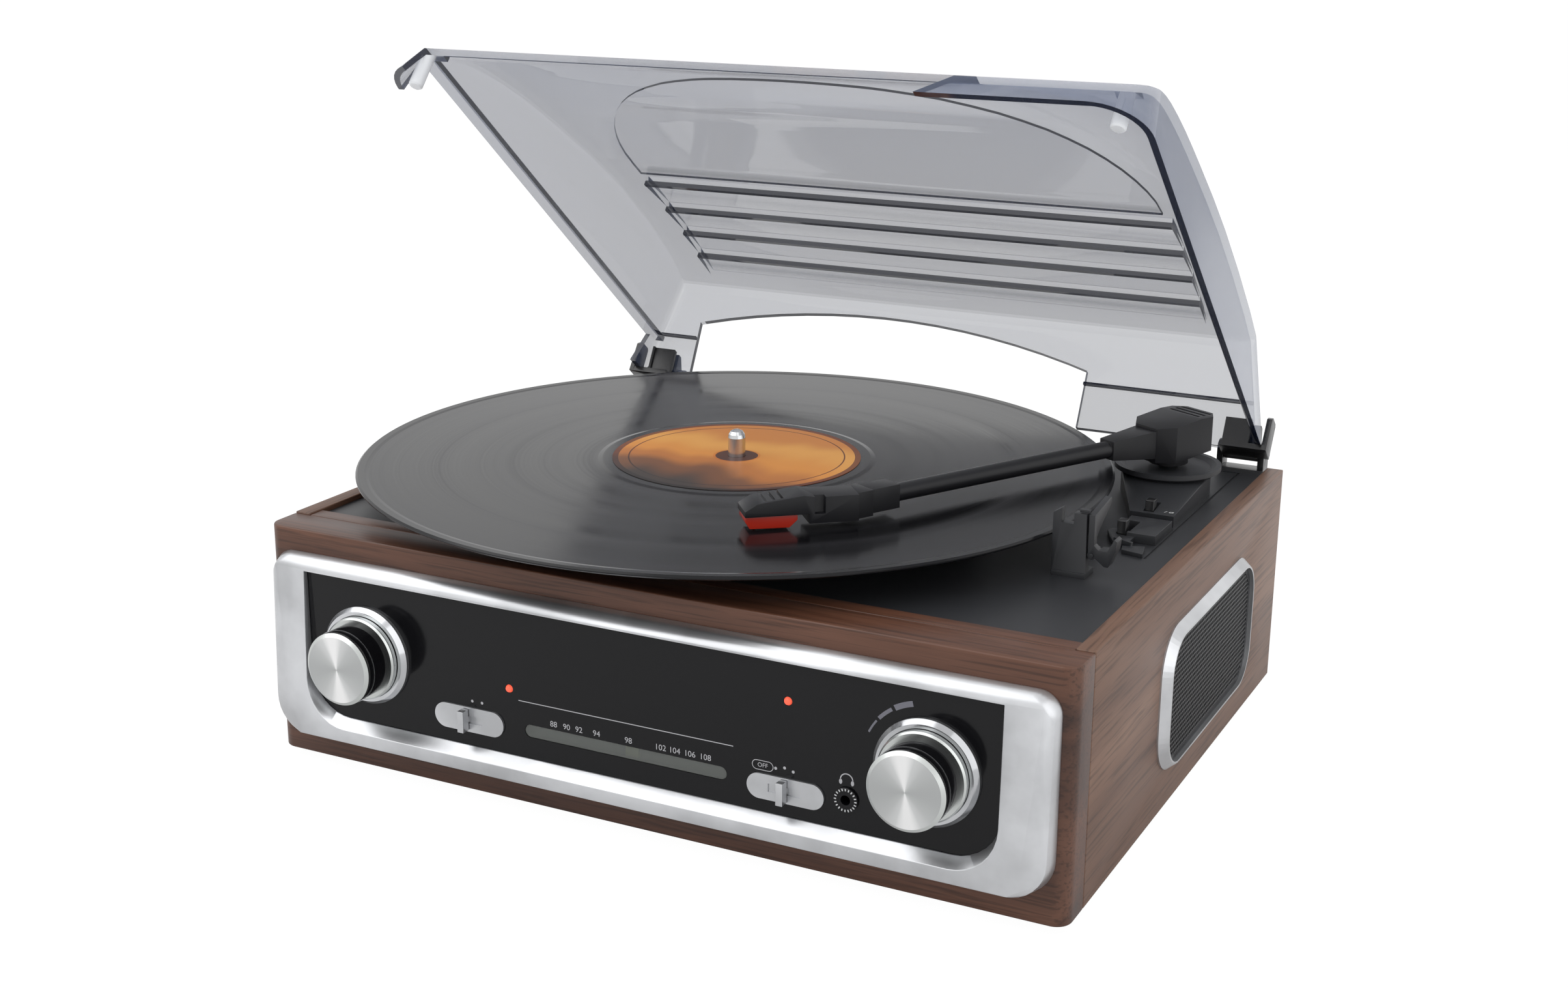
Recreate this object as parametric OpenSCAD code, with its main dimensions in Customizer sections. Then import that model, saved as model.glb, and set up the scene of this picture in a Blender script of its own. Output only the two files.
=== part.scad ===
// Stereo music centre: a wood-cased record player with an FM radio panel, two side
// speakers and a hinged smoked lid, drawn with the lid open and a 12 inch record on.
// X runs to the right, Y from the front to the back, Z up from the surface it stands on.

/* [Cabinet] */
// Width over the two side boards
cabinet_w = 325; // [323:1:327]
// Depth of the wood cabinet
cabinet_d = 258; // [257:1:259]
// Height of the front board without the feet
cabinet_h = 91; // [90:0.5:92]
// Thickness of the front board
front_t = 16.5; // [14:0.5:17]
// Thickness of each side board
side_t = 7; // [6.5:0.1:7]
// Height of the rubber feet
foot_h = 4; // [3:0.5:6]

/* [Front panel] */
// Distance of the two knob axes from the middle
knob_x = 114; // [112:1:116]
// Height of the two knob axes
knob_z = 48; // [47:0.5:49]
// Diameter of the knob faces
knob_d = 28; // [26:0.5:29]
// How far the knob faces stand in front of the cabinet
knob_out = 23; // [21:0.5:24]
// Travel of the dial pointer to each side
dial_travel = 36; // [30:1:36]

/* [Speakers] */
// Length of the oval speaker ring
ring_w = 116.9; // [114:0.1:118]
// Height of the oval speaker ring
ring_h = 56.4; // [55:0.1:58]
// How far the ring stands off the board
ring_out = 3.8; // [3:0.1:5]
// Spacing of the grille holes
grille_pitch = 4; // [3.8:0.1:5]

/* [Turntable] */
// Diameter of the platter
platter_d = 200; // [196:1:204]
// Diameter of the record
record_d = 301.6; // [300:0.1:302]
// Diameter of the record's paper label
label_d = 100; // [96:1:102]
// Diameter of the spindle
spindle_d = 7; // [6.9:0.05:7.1]

/* [Tonearm] */
// Direction of the arm tube, seen from above
arm_dir = -117.7; // [-119:0.1:-116]
// Diameter of the arm tube
tube_d = 6.8; // [6:0.2:7]
// Angle of the headshell to the tube
head_turn = -22; // [-24:1:-20]

/* [Lid] */
// Angle of the lid above its closed place
lid_open = 39.8; // [30:0.1:45]
// Wall thickness of the lid
lid_t = 2.5; // [2:0.1:3]
// Width of the lid at its rim
lid_w = 305; // [303:1:307]

/* [Hidden] */
$fn = 48;
eps = 0.01;

walnut = "#4a2a1c";
black_wood = "#2a2522";
matt_black = "#1d1e20";
gloss_black = "#0b0b0d";
satin_silver = "#c9ccd0";
bright_metal = "#e0e2e4";
vinyl = "#101012";
smoke = "#9aa6bd";

// Cabinet planes and the space between the side boards
front_y = -cabinet_d/2;
back_y = cabinet_d/2;
board_y = front_y + front_t;
inner_x = cabinet_w/2 - side_t;
side_h = cabinet_h + 0.5;
corner_r = 6;
base_t = 6;
back_t = 3;
rail_d = 7.5;
rail_h = 17;
ledge = 5;
deck_t = 3;
deck_top = cabinet_h - 1.5;
deck_under = deck_top - deck_t;
deck_y = board_y + rail_d;

// Turntable: centre and the stack of heights from the platter up
spin_x = -27;
spin_y = -3;
platter_z = deck_top + 3.5;
platter_top = 101.2;
plate_under = platter_top - 3;
mat_top = platter_top + 2;
record_top = mat_top + 1.6;
label_t = 0.2;
hole_r = spindle_d/2 + 0.1;
fit = 0.05;
gap = 0.3;
drive_r = 61;
pulley_r = 6;
pulley_gap = 78;
pulley_dir = 135;
pulley_x = spin_x + pulley_gap*cos(pulley_dir);
pulley_y = spin_y + pulley_gap*sin(pulley_dir);

// Whole object: the record reaches past the left and front of the cabinet, the
// speaker ring past its right and the open lid past its back
left_end = spin_x - record_d/2;
right_end = cabinet_w/2 + ring_out;
front_end = spin_y - record_d/2;
hinge_y = 139;
hinge_z = 95;

// Lid, about the hinge axis: forward and up when it is closed. Its walls lean in
// towards the crown, which is curved from its low front to the rear shoulder
rim_z = -2.5;
lid_front = 260;
lid_rear = 4.5;
front_lean = 0.4;
side_lean = 0.24;
rear_lean = 0.235;
shoulder = [17, 44.4];
lid_top = 52;
cut_z = 12;
lid_half = lid_w/2;

back_end = hinge_y - shoulder[0]*cos(lid_open) + shoulder[1]*sin(lid_open);
centre_x = (left_end + right_end)/2;
centre_y = (front_end + back_end)/2;

// Tonearm: pivot, heights and lengths along the tube
pivot_x = 125.5;
pivot_y = 84.5;
tube_z = 111.5;
turret_z = 101;
lift_z = 113;
head_a = 165;

// Panel planes, from the wood forward
panel_back = front_y;
panel_in = front_y - 2.5;
panel_y = front_y - 4.5;
bezel_top_y = front_y - 6.5;
bezel_low_y = front_y - 9.5;
bezel_top = 82.5;
bezel_low = 10;
bezel_w = 316;
board_w = 264;
pcb_y = front_y + 8;
pcb_t = 1.6;
knob_face = front_y - knob_out;
shaft_r = 3;

// Moves a piece from the cabinet's own axes to the part's frame
module placed() {
    translate([-centre_x, -centre_y, foot_h])
        children();
}

// Extrudes an outline drawn in X and Z between two depths
module along_y(y0, y1) {
    translate([0, y1, 0])
        rotate([90, 0, 0])
            linear_extrude(y1 - y0)
                children();
}

// Extrudes an outline drawn in Y and Z between two widths
module along_x(x0, x1) {
    translate([x0, 0, 0])
        rotate([90, 0, 90])
            linear_extrude(x1 - x0)
                children();
}

// Revolves a profile of radius and forward reach about an axis along Y
module turned_y(x, z, y = 0) {
    translate([x, y, z])
        rotate([90, 0, 0])
            rotate_extrude()
                children();
}

// Box between two corners
module block(from, to) {
    translate(from)
        cube(to - from);
}

// Rectangle with round corners about its middle
module round_rect(w, h, r) {
    square([w - 2*r, h], center = true);
    square([w, h - 2*r], center = true);
    for (sx = [-1, 1], sy = [-1, 1])
        translate([sx*(w/2 - r), sy*(h/2 - r)])
            circle(r);
}

// Upright cylinder from one height to another
module post(x, y, z0, z1, r) {
    translate([x, y, z0])
        cylinder(r = r, h = z1 - z0);
}

// ---- Cabinet ----

module front_board() {
    color(walnut) placed() difference() {
        linear_extrude(cabinet_h) {
            block_w = cabinet_w - 2*corner_r;
            translate([-cabinet_w/2, front_y + corner_r])
                square([cabinet_w, front_t - corner_r]);
            translate([-block_w/2, front_y])
                square([block_w, corner_r]);
            for (s = [-1, 1])
                translate([s*block_w/2, front_y + corner_r])
                    circle(corner_r);
        }
        block([-140, front_y - 1, 18], [140, board_y + 1, 74]);
    }
}

module front_rail() {
    top = cabinet_h;
    color(walnut) placed()
        along_x(-inner_x, inner_x)
            polygon([[board_y, top - rail_h], [board_y, top], [deck_y, top],
                     [deck_y, deck_under], [deck_y + 6, deck_under],
                     [deck_y + 6, top - rail_h]]);
}

speaker_y = 21.55;
speaker_z = 43.2;
frame_w = 3.6;
neck_w = 113.3;
neck_h = 52.6;

// Oval outline of the speaker opening, in Y and Z
module speaker_oval(w, h, r) {
    translate([speaker_y, speaker_z])
        round_rect(w, h, r);
}

module side_board() {
    difference() {
        union() {
            block([inner_x, board_y, 0], [cabinet_w/2, back_y, side_h]);
            block([inner_x - ledge, deck_y + 7, deck_under - 6.5],
                  [inner_x + eps, back_y - back_t - 1, deck_under]);
        }
        along_x(inner_x - 1, cabinet_w/2 + 1)
            speaker_oval(neck_w, neck_h, 15.8);
    }
}

module side_board_left() {
    color(walnut) placed()
        mirror([1, 0, 0])
            side_board();
}

module side_board_right() {
    color(walnut) placed()
        side_board();
}

socket_z = 40;
line_x = [52, 68];
power_x = 98;

module back_panel() {
    color(black_wood) placed() difference() {
        block([-inner_x, back_y - back_t, base_t], [inner_x, back_y, deck_under]);
        for (x = line_x)
            along_y(back_y - back_t - 1, back_y + 1)
                translate([x, socket_z])
                    circle(4.3);
        along_y(back_y - back_t - 1, back_y + 1)
            translate([power_x, socket_z])
                circle(5.3);
        for (k = [0:5])
            block([-110 + k*12, back_y - back_t - 1, 30],
                  [-106.5 + k*12, back_y + 1, 62]);
    }
}

module base_panel() {
    color(black_wood) placed() difference() {
        block([-inner_x, board_y, 0], [inner_x, back_y, base_t]);
        for (k = [0:6])
            block([pulley_x - 30 + k*9, pulley_y - 20, -1],
                  [pulley_x - 26.5 + k*9, pulley_y + 20, base_t + 1]);
    }
}

module feet() {
    color("#202022") placed()
        for (sx = [-1, 1], y = [front_y + 34, back_y - 20])
            translate([sx*138, y, -foot_h])
                rotate_extrude()
                    polygon([[0, 0], [9.5, 0], [11, 1.5], [11, foot_h], [0, foot_h]]);
}

// ---- Deck and what stands on it ----

module deck_plate() {
    color(matt_black) placed() difference() {
        block([-inner_x, deck_y, deck_under], [inner_x, back_y, deck_top]);
        post(spin_x, spin_y, 80, 100, 8.1);
        post(pulley_x, pulley_y, 80, 100, 9);
        post(pivot_x, pivot_y, 80, 100, 6.6);
        speed_slot();
        stop_slot();
        // Fine groove round the rear right of the deck
        block([145, -8, deck_top - 0.6], [146, 122, 100]);
        block([100, 121, deck_top - 0.6], [146, 122, 100]);
    }
}

console_top = 93.3;

// Slots that the two switch knobs slide along
module speed_slot() {
    block([130.7, 36.1, 80], [134.9, 45.9, 120]);
}

module stop_slot() {
    block([128.2, 10.8, 80], [133.7, 24, 120]);
}

module switch_console() {
    color(matt_black) placed() difference() {
        translate([0, 0, deck_top]) {
            linear_extrude(console_top - deck_top)
                polygon([[128, 24], [128, 30.4], [144.2, 30.4], [144.2, 8.7],
                         [133, 8.7], [133, 24]]);
            // Lower step in front, the hooked bar across it and the front lip
            linear_extrude(2.2)
                polygon([[124, 14], [125.5, 16.5], [128.5, 16.5], [128.5, 10], [136, 8.8],
                         [136, 1], [130, 1.5], [127.5, 6]]);
            linear_extrude(3.1)
                polygon([[130, 2.5], [130.4, 3.6], [138.4, 0.2], [138, -1]]);
            linear_extrude(1.7)
                polygon([[134.7, -1.5], [142.6, 1.5], [144.6, -8], [136, -6]]);
        }
        stop_slot();
    }
}

module arm_plinth() {
    color(matt_black) placed() difference() {
        union() {
            hull() {
                translate([pivot_x, pivot_y - 2, deck_top])
                    cylinder(r = 18, h = 8, $fn = 32);
                translate([126, 34.4, deck_top])
                    cube([17.5, 4, 4.3]);
            }
            translate([pivot_x, pivot_y, deck_top + 7])
                cylinder(r1 = 18, r2 = 21, h = turret_z - deck_top - 8.5);
            translate([pivot_x, pivot_y, turret_z - 2])
                cylinder(r = 21.5, h = 2);
            post(pivot_x, pivot_y, 76, deck_top + 2, 6.5);
        }
        // Shallow dish in the turret, the spindle bore and the speed slide's slot
        translate([pivot_x, pivot_y, turret_z - 1.2])
            cylinder(r1 = 17, r2 = 19.6, h = 1.3);
        post(pivot_x, pivot_y, 78, 120, 4 + fit);
        speed_slot();
    }
}

rest_front = -40;
rest_back = -36.5;
notch = [123.9, 128.5];
notch_z = 109.3;
clip_pin = [135.4, 98.4];
clip_pin_r = 0.8;

module arm_rest() {
    color(matt_black) placed() {
        // Post with a pointed inner horn, the notch and a flat outer horn
        along_y(rest_front, rest_back)
            polygon([[120.6, deck_top], [133.7, deck_top], [133.2, 113.4],
                     [notch[1] + 0.1, 113.4], [notch[1], notch_z], [notch[0], notch_z],
                     [notch[0] - 0.1, 114.6], [120.8, 112.7]]);
        block([121.2, rest_front - 1, deck_top], [133.7, -31, deck_top + 2]);
        block([126.4, rest_back - 0.1, deck_top], [128.4, -32, 104]);
        // Lug behind the clip and the pin that the clip turns on
        block([131, rest_back - 0.1, clip_pin[1] - 2], [133.5, -33.5, clip_pin[1] + 2]);
        block([133.4, -36, clip_pin[1] - 2], [136.8, -33.5, clip_pin[1] + 2]);
        along_y(-39.9, -35.9)
            translate(clip_pin)
                circle(clip_pin_r);
    }
}

module arm_clip() {
    color(matt_black) placed() difference() {
        union() {
            // Plate beside the rest, with a finger bar rising to the rear
            along_x(134, 136.2)
                polygon([[-39.5, 97.5], [-39.5, 113.3], [-22, 115.8], [-21.5, 114.6],
                         [-22, 112.6], [-33, 107], [-36.3, 104.5], [-36.3, 97.5]]);
            along_y(-39.5, -36.3)
                translate(clip_pin)
                    circle(2*clip_pin_r);
            // Lip over the outer horn and the bent paddle on the right
            block([130.5, -39.5, 113.8], [134.1, -38, 114.9]);
            difference() {
                along_y(-39.5, -34)
                    polygon([[134, 101.5], [134.2, 104.1], [137.9, 100.6],
                             [141.2, 100.6], [143.6, 105.4], [144.6, 104.6],
                             [144.2, 101], [141.6, 94.8], [140.2, 94.8],
                             [134, 99.5]]);
                block([130, -36.3, 90], [138, -30, 110]);
            }
        }
        along_y(-41, -33)
            translate(clip_pin)
                circle(clip_pin_r + fit);
    }
}

module speed_slide() {
    color(gloss_black) placed() {
        block([131.1, 37.5, 86.2], [134.5, 41.5, 98]);
        block([128, 35.5, 84.4], [138, 43.5, 86.2]);
    }
}

module stop_slide() {
    color(gloss_black) placed() {
        block([128.5, 11.2, 86.2], [132, 15.8, 96.6]);
        block([126, 9, 84.4], [136, 18, 86.2]);
    }
}

// ---- Front panel ----

// Outline of the bezel with larger lower corners, in X and Z
module bezel_outline(inset) {
    w = bezel_w/2 - inset;
    top = bezel_top - inset;
    low = bezel_low + inset;
    hull() {
        for (s = [-1, 1]) {
            translate([s*(w - 8), top - 8])
                circle(8, $fn = 32);
            translate([s*(w - 14), low + 14])
                circle(14, $fn = 32);
        }
    }
}

face_tilt = atan((bezel_top_y - bezel_low_y)/(bezel_top - bezel_low));

// Thin slice of an outline laid on the bezel's tilted face plane, or behind it
module on_face(back) {
    translate([0, bezel_low_y + back, bezel_low])
        rotate([-face_tilt, 0, 0])
            translate([0, 0, -bezel_low])
                along_y(0, eps)
                    children();
}

// Half of the crease that bounds the flat face; outside it the flank falls to the wood
crease = [[153.9, 78.3], [152.1, 49.5], [150, 30], [148.4, 17.3], [144.5, 12.2]];

module crease_outline() {
    last = len(crease) - 1;
    polygon(concat(crease, [for (k = [last:-1:0]) [-crease[k][0], crease[k][1]]]));
}

opening_w = 281;
opening_low = 16.2;
opening_top = 77.2;

// Outline of the opening: square above, large corners below, in X and Z
module opening_outline(lift, grow) {
    w = opening_w/2 + grow;
    r = 17;
    hull() {
        translate([-w, opening_top - 1 + grow])
            square([2*w, 1]);
        for (s = [-1, 1])
            translate([s*(w - r), opening_low + lift + r])
                circle(r, $fn = 32);
    }
}

module bezel() {
    color(satin_silver) placed() difference() {
        hull() {
            along_y(front_y - 1, front_y)
                bezel_outline(0);
            on_face(2.2)
                bezel_outline(1);
            on_face(0)
                crease_outline();
        }
        along_y(panel_y - 0.5, front_y + 1)
            opening_outline(4.4, 0);
        hull() {
            along_y(panel_y - 1, panel_y - 0.5)
                opening_outline(4.4, 0);
            face_slice_opening(-2);
        }
        along_y(panel_y, front_y + 1)
            polygon([[-146.2, 13.3], [146.2, 13.3], [146.2, 79.7], [-146.2, 79.7]]);
    }
}

// Slice of the opening just ahead of the tilted face
module face_slice_opening(back) {
    translate([0, bezel_low_y + back, 0])
        along_y(0, eps)
            opening_outline(-1, 0.4);
}

dial_z = 31.3;
dial_x0 = -44.1;
dial_x1 = 39.2;
dial_h = 5;
lamp_at = [[-50.4, 46.2], [62.7, 63]];
jack_at = [85, 31.9];
band_at = [-68.2, 30.9];
source_at = [62.1, 30.2];

// Long outline with round ends, in X and Z
module strip(x0, x1, z, h) {
    translate([x0 + h/2, z - h/2])
        square([x1 - x0 - h, h]);
    for (x = [x0 + h/2, x1 - h/2])
        translate([x, z])
            circle(h/2);
}

module control_panel() {
    color(gloss_black) placed() difference() {
        union() {
            along_y(panel_y, panel_in)
                polygon([[-146, 13.5], [146, 13.5], [146, 79.5], [-146, 79.5]]);
            difference() {
                along_y(panel_in - eps, panel_back)
                    polygon([[-146, 13.5], [146, 13.5], [146, 79.5], [-146, 79.5]]);
                block([-143, -200, 16.5], [143, 0, 76.5]);
            }
            for (x = [-128, -90, 90, 128], z = [24, 68])
                if (abs(x) > 100 || z > 50)
                    along_y(panel_in - eps, pcb_y)
                        translate([x, z])
                            circle(3);
        }
        for (s = [-1, 1])
            along_y(-140, -120)
                translate([s*knob_x, knob_z])
                    circle(4);
        along_y(-140, -120)
            strip(dial_x0, dial_x1, dial_z, dial_h);
        for (p = lamp_at)
            along_y(-140, -120)
                translate(p)
                    circle(1.6);
        along_y(-140, -120)
            translate(jack_at)
                circle(3.3);
        block([-72.5, -140, 29.4], [-62.5, -120, 32.4]);
        block([55.6, -140, 28.7], [67.8, -120, 31.7]);
    }
}

module dial_window() {
    color("#5a5d58") placed() {
        along_y(panel_y + 0.3, panel_in)
            strip(dial_x0 + 0.1, dial_x1 - 0.1, dial_z, dial_h - 0.2);
        along_y(panel_in, panel_in + 0.6)
            strip(dial_x0 - 2, dial_x1 + 2, dial_z, dial_h + 4);
    }
}

module knob_ring(x) {
    turned_y(x, knob_z, panel_y)
        polygon([[14.2, 0], [19, 0], [19, 1.4], [17.6, 3.1], [16.2, 3.1],
                 [14.2, 1.2]]);
}

module tuning_ring() {
    color(bright_metal) placed()
        knob_ring(-knob_x);
}

module volume_ring() {
    color(bright_metal) placed()
        knob_ring(knob_x);
}

module switch_plates() {
    color(satin_silver) placed() {
        difference() {
            along_y(panel_y - 0.8, panel_y)
                strip(band_at[0] - 15.2, band_at[0] + 15.2, band_at[1], 9.7);
            block([-72.5, -140, 29.4], [-62.5, -120, 32.4]);
        }
        difference() {
            along_y(panel_y - 0.8, panel_y)
                strip(source_at[0] - 14.7, source_at[0] + 14.7, source_at[1], 9.3);
            block([55.6, -140, 28.7], [67.8, -120, 31.7]);
        }
    }
}

module indicator_lamps() {
    color("#e8543c") placed()
        for (p = lamp_at)
            turned_y(p[0], p[1], pcb_y)
                polygon([[0, 0], [1.5, 0], [1.5, 12.4], [1.2, 13], [0.6, 13.3],
                         [0, 13.4]]);
}

module headphone_jack() {
    color("#2b2c2e") placed()
        turned_y(jack_at[0], jack_at[1], pcb_y)
            polygon([[0, 0], [3.2, 0], [3.2, 12.5], [4.4, 12.5], [4.4, 13.3],
                     [4, 13.6], [1.8, 13.6], [1.8, 1.6], [0, 1.6]]);
}

module main_board() {
    color("#2f5a38") placed() difference() {
        along_y(pcb_y, pcb_y + pcb_t)
            polygon([[-board_w/2, 20], [board_w/2, 20], [board_w/2, 72],
                     [-board_w/2, 72]]);
        for (s = [-1, 1])
            along_y(-130, -110)
                translate([s*knob_x, knob_z])
                    circle(5.2);
    }
}

// Rotary part behind the board whose bush carries a knob's shaft
module bushed_body(x, w, d) {
    difference() {
        union() {
            block([x - w/2, pcb_y + pcb_t, knob_z - w/2],
                  [x + w/2, pcb_y + pcb_t + d, knob_z + w/2]);
            along_y(panel_in + 1, pcb_y + pcb_t + eps)
                translate([x, knob_z])
                    circle(5);
        }
        along_y(-140, pcb_y + pcb_t + 8)
            translate([x, knob_z])
                circle(shaft_r + fit);
    }
}

module tuner_gang() {
    color("#b9bcc0") placed()
        bushed_body(-knob_x, 26, 22);
}

module volume_pot() {
    color("#8f9498") placed()
        bushed_body(knob_x, 18, 12);
}

module slide_switches() {
    color("#3a3c3f") placed() {
        difference() {
            block([-77, panel_in + 1, 27], [-58, pcb_y, 35]);
            block([-73, -140, 29.2], [-62, pcb_y - 2, 32.6]);
        }
        difference() {
            block([52, panel_in + 1, 26.3], [71.4, pcb_y, 34.3]);
            block([55, -140, 28.5], [68.4, pcb_y - 2, 31.9]);
        }
    }
}

rail_y = -126;
rail_z = 43;
pointer_x = -0.8;
rail_x0 = pointer_x - dial_travel - 8.7;
rail_x1 = pointer_x + dial_travel + 10.8;

module dial_rail() {
    color(bright_metal) placed() {
        translate([rail_x0, rail_y, rail_z])
            rotate([0, 90, 0])
                cylinder(r = 1.5, h = rail_x1 - rail_x0);
        for (x = [rail_x0 - 2.5, rail_x1])
            block([x, rail_y - 3, rail_z - 3], [x + 2.5, pcb_y, rail_z + 3]);
    }
}

module dial_pointer() {
    color("#d8e36a") placed() difference() {
        union() {
            block([pointer_x - 2.7, panel_in + 1.2, 27],
                  [pointer_x + 2.7, panel_in + 2.2, rail_z]);
            block([pointer_x - 4.5, panel_in + 2.2, rail_z - 3],
                  [pointer_x + 4.5, rail_y + 3, rail_z + 3]);
        }
        translate([-60, rail_y, rail_z])
            rotate([0, 90, 0])
                cylinder(r = 1.5 + fit, h = 120);
    }
}

module knob_body(x) {
    turned_y(x, knob_z, knob_face)
        polygon([[0, -1.5], [knob_d/2 - 0.4, -1.5], [knob_d/2, -2.1],
                 [knob_d/2, -12.5], [0, -12.5]]);
    turned_y(x, knob_z, knob_face)
        polygon([[0, -12.4], [shaft_r, -12.4], [shaft_r, -37], [0, -37]]);
}

// Face disc and collar of a knob, in bare metal
module knob_cap(x) {
    turned_y(x, knob_z, knob_face)
        polygon([[0, 0], [knob_d/2 - 1.3, 0], [knob_d/2, -1], [knob_d/2, -1.5],
                 [0, -1.5]]);
    turned_y(x, knob_z, knob_face)
        polygon([[shaft_r + fit, -12.5], [15.4, -12.5], [16, -13.2], [16, -15],
                 [shaft_r + fit, -15]]);
}

module tuning_knob() {
    color(gloss_black) placed()
        knob_body(-knob_x);
}

module tuning_cap() {
    color(bright_metal) placed()
        knob_cap(-knob_x);
}

module volume_knob() {
    color(gloss_black) placed()
        knob_body(knob_x);
}

module volume_cap() {
    color(bright_metal) placed()
        knob_cap(knob_x);
}

// Slide with a standing blade outside and a stem through the panel
module panel_slide(x, z) {
    block([x - 1.3, panel_y - 4.6, z - 4.1], [x + 1.3, panel_y - 1.1, z + 4.1]);
    block([x - 1.1, panel_y - 1.2, z - 1.2], [x + 1.1, pcb_y - 3, z + 1.2]);
}

module band_slide() {
    color(satin_silver) placed()
        panel_slide(-69.5, band_at[1]);
}

module source_slide() {
    color(satin_silver) placed()
        panel_slide(61.7, source_at[1]);
}

// ---- Speakers ----

grille_w = ring_w - 2*frame_w;
grille_h = ring_h - 2*frame_w;

module speaker_ring() {
    x0 = cabinet_w/2;
    difference() {
        union() {
            hull() {
                along_x(x0, x0 + 0.6)
                    speaker_oval(ring_w, ring_h, 17.6);
                along_x(x0 + ring_out - eps, x0 + ring_out)
                    speaker_oval(grille_w + 1.6, grille_h + 1.6, 14.8);
            }
            along_x(inner_x, x0 + eps)
                speaker_oval(neck_w - 0.2, neck_h - 0.2, 15.7);
        }
        along_x(x0 + 0.6, x0 + 10)
            speaker_oval(grille_w, grille_h, 14);
        along_x(inner_x - 1, x0 + 1)
            speaker_oval(grille_w - 4, grille_h - 4, 12);
    }
}

module speaker_ring_left() {
    color(satin_silver) placed()
        mirror([1, 0, 0])
            speaker_ring();
}

module speaker_ring_right() {
    color(satin_silver) placed()
        speaker_ring();
}

// True where a grille hole's middle keeps clear of the oval's edge
function in_oval(y, z) = let (m = 5, cy = max(abs(y) - (grille_w/2 - 14), 0),
    cz = max(abs(z) - (grille_h/2 - 14), 0))
    sqrt(cy*cy + cz*cz) < 14 - m + 0.6;

module speaker_grille() {
    x0 = cabinet_w/2 + 0.6;
    n_y = floor(grille_w/2/grille_pitch);
    n_z = floor(grille_h/2/grille_pitch);
    hole = grille_pitch*0.6;
    along_x(x0, x0 + 1.6)
        difference() {
            speaker_oval(grille_w - 0.2, grille_h - 0.2, 13.9);
            for (i = [-n_y:n_y], j = [-n_z:n_z])
                if (in_oval(i*grille_pitch, j*grille_pitch))
                    translate([speaker_y + i*grille_pitch, speaker_z + j*grille_pitch])
                        square(hole, center = true);
        }
}

module speaker_grille_left() {
    color("#2c2d30") placed()
        mirror([1, 0, 0])
            speaker_grille();
}

module speaker_grille_right() {
    color("#2c2d30") placed()
        speaker_grille();
}

module speaker_driver() {
    difference() {
        union() {
            along_x(inner_x - 2, inner_x)
                speaker_oval(ring_w + 4, ring_h + 5, 14);
            translate([inner_x - 2, speaker_y, speaker_z])
                rotate([0, -90, 0])
                    rotate_extrude()
                        polygon([[0, -0.1], [27, -0.1], [27, 3], [15, 14], [19, 14],
                                 [19, 25], [0, 25]]);
        }
        // Cone, open towards the grille
        translate([inner_x + 1, speaker_y, speaker_z])
            rotate([0, -90, 0])
                rotate_extrude()
                    polygon([[0, 0], [24, 0], [24, 3.4], [9, 13], [6, 11.5], [0, 9.5]]);
    }
}

module speaker_driver_left() {
    color("#3b3d40") placed()
        mirror([1, 0, 0])
            speaker_driver();
}

module speaker_driver_right() {
    color("#3b3d40") placed()
        speaker_driver();
}

// ---- Turntable drive ----

module platter_bearing() {
    color("#9a9da1") placed()
        translate([spin_x, spin_y, 0])
            rotate_extrude()
                polygon([[0, 70], [8, 70], [8, deck_under - 3], [18, deck_under - 3],
                         [18, deck_under], [8, deck_under], [8, 92],
                         [spindle_d/2 + fit, 92], [spindle_d/2 + fit, 72], [0, 72]]);
}

module motor() {
    color("#8c8f94") placed() difference() {
        union() {
            post(pulley_x, pulley_y, 60, 84, 18);
            block([pulley_x - 22, pulley_y - 20, 84],
                  [pulley_x + 22, pulley_y + 20, deck_under]);
        }
        post(pulley_x, pulley_y, 61, 100, 1 + fit);
    }
}

module motor_pulley() {
    color("#c8b070") placed()
        translate([pulley_x, pulley_y, 0])
            rotate_extrude()
                polygon([[0, 61.5], [1, 61.5], [1, 90], [pulley_r + 1, 90],
                         [pulley_r + 1, 93.4], [pulley_r, 93.8], [pulley_r, 97.2],
                         [pulley_r + 0.8, 97.6], [0, 97.6]]);
}

// Outline round the drive ring and the pulley, joined by straight tangents
module belt_outline(grow) {
    big = drive_r + grow;
    small = pulley_r + grow;
    a = acos((big - small)/pulley_gap);
    circle(big);
    translate([pulley_gap, 0])
        circle(small);
    polygon([[big*cos(a), big*sin(a)],
             [pulley_gap + small*cos(a), small*sin(a)],
             [pulley_gap + small*cos(a), -small*sin(a)],
             [big*cos(a), -big*sin(a)]]);
}

module drive_belt() {
    color("#222222") placed()
        translate([spin_x, spin_y, 94])
            rotate([0, 0, pulley_dir])
                linear_extrude(3)
                    difference() {
                        belt_outline(0.9);
                        belt_outline(0.15);
                    }
}

module platter() {
    r = platter_d/2;
    color("#26272a") placed()
        translate([spin_x, spin_y, 0]) {
            rotate_extrude()
                polygon([[hole_r, plate_under], [drive_r - 3, plate_under],
                         [drive_r - 3, 93.4], [drive_r, 93.4], [drive_r, plate_under],
                         [r - 4, plate_under], [r - 4, platter_z], [r - 0.8, platter_z],
                         [r, platter_z + 0.8], [r, platter_top - 1.2],
                         [r - 1.2, platter_top], [hole_r, platter_top]]);
        }
}

module platter_mat() {
    r = 95;
    color("#1a1a1c") placed()
        translate([spin_x, spin_y, 0])
            rotate_extrude()
                polygon([[hole_r, platter_top], [r, platter_top], [r, mat_top - 0.6],
                         [r - 0.6, mat_top], [hole_r, mat_top]]);
}

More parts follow.
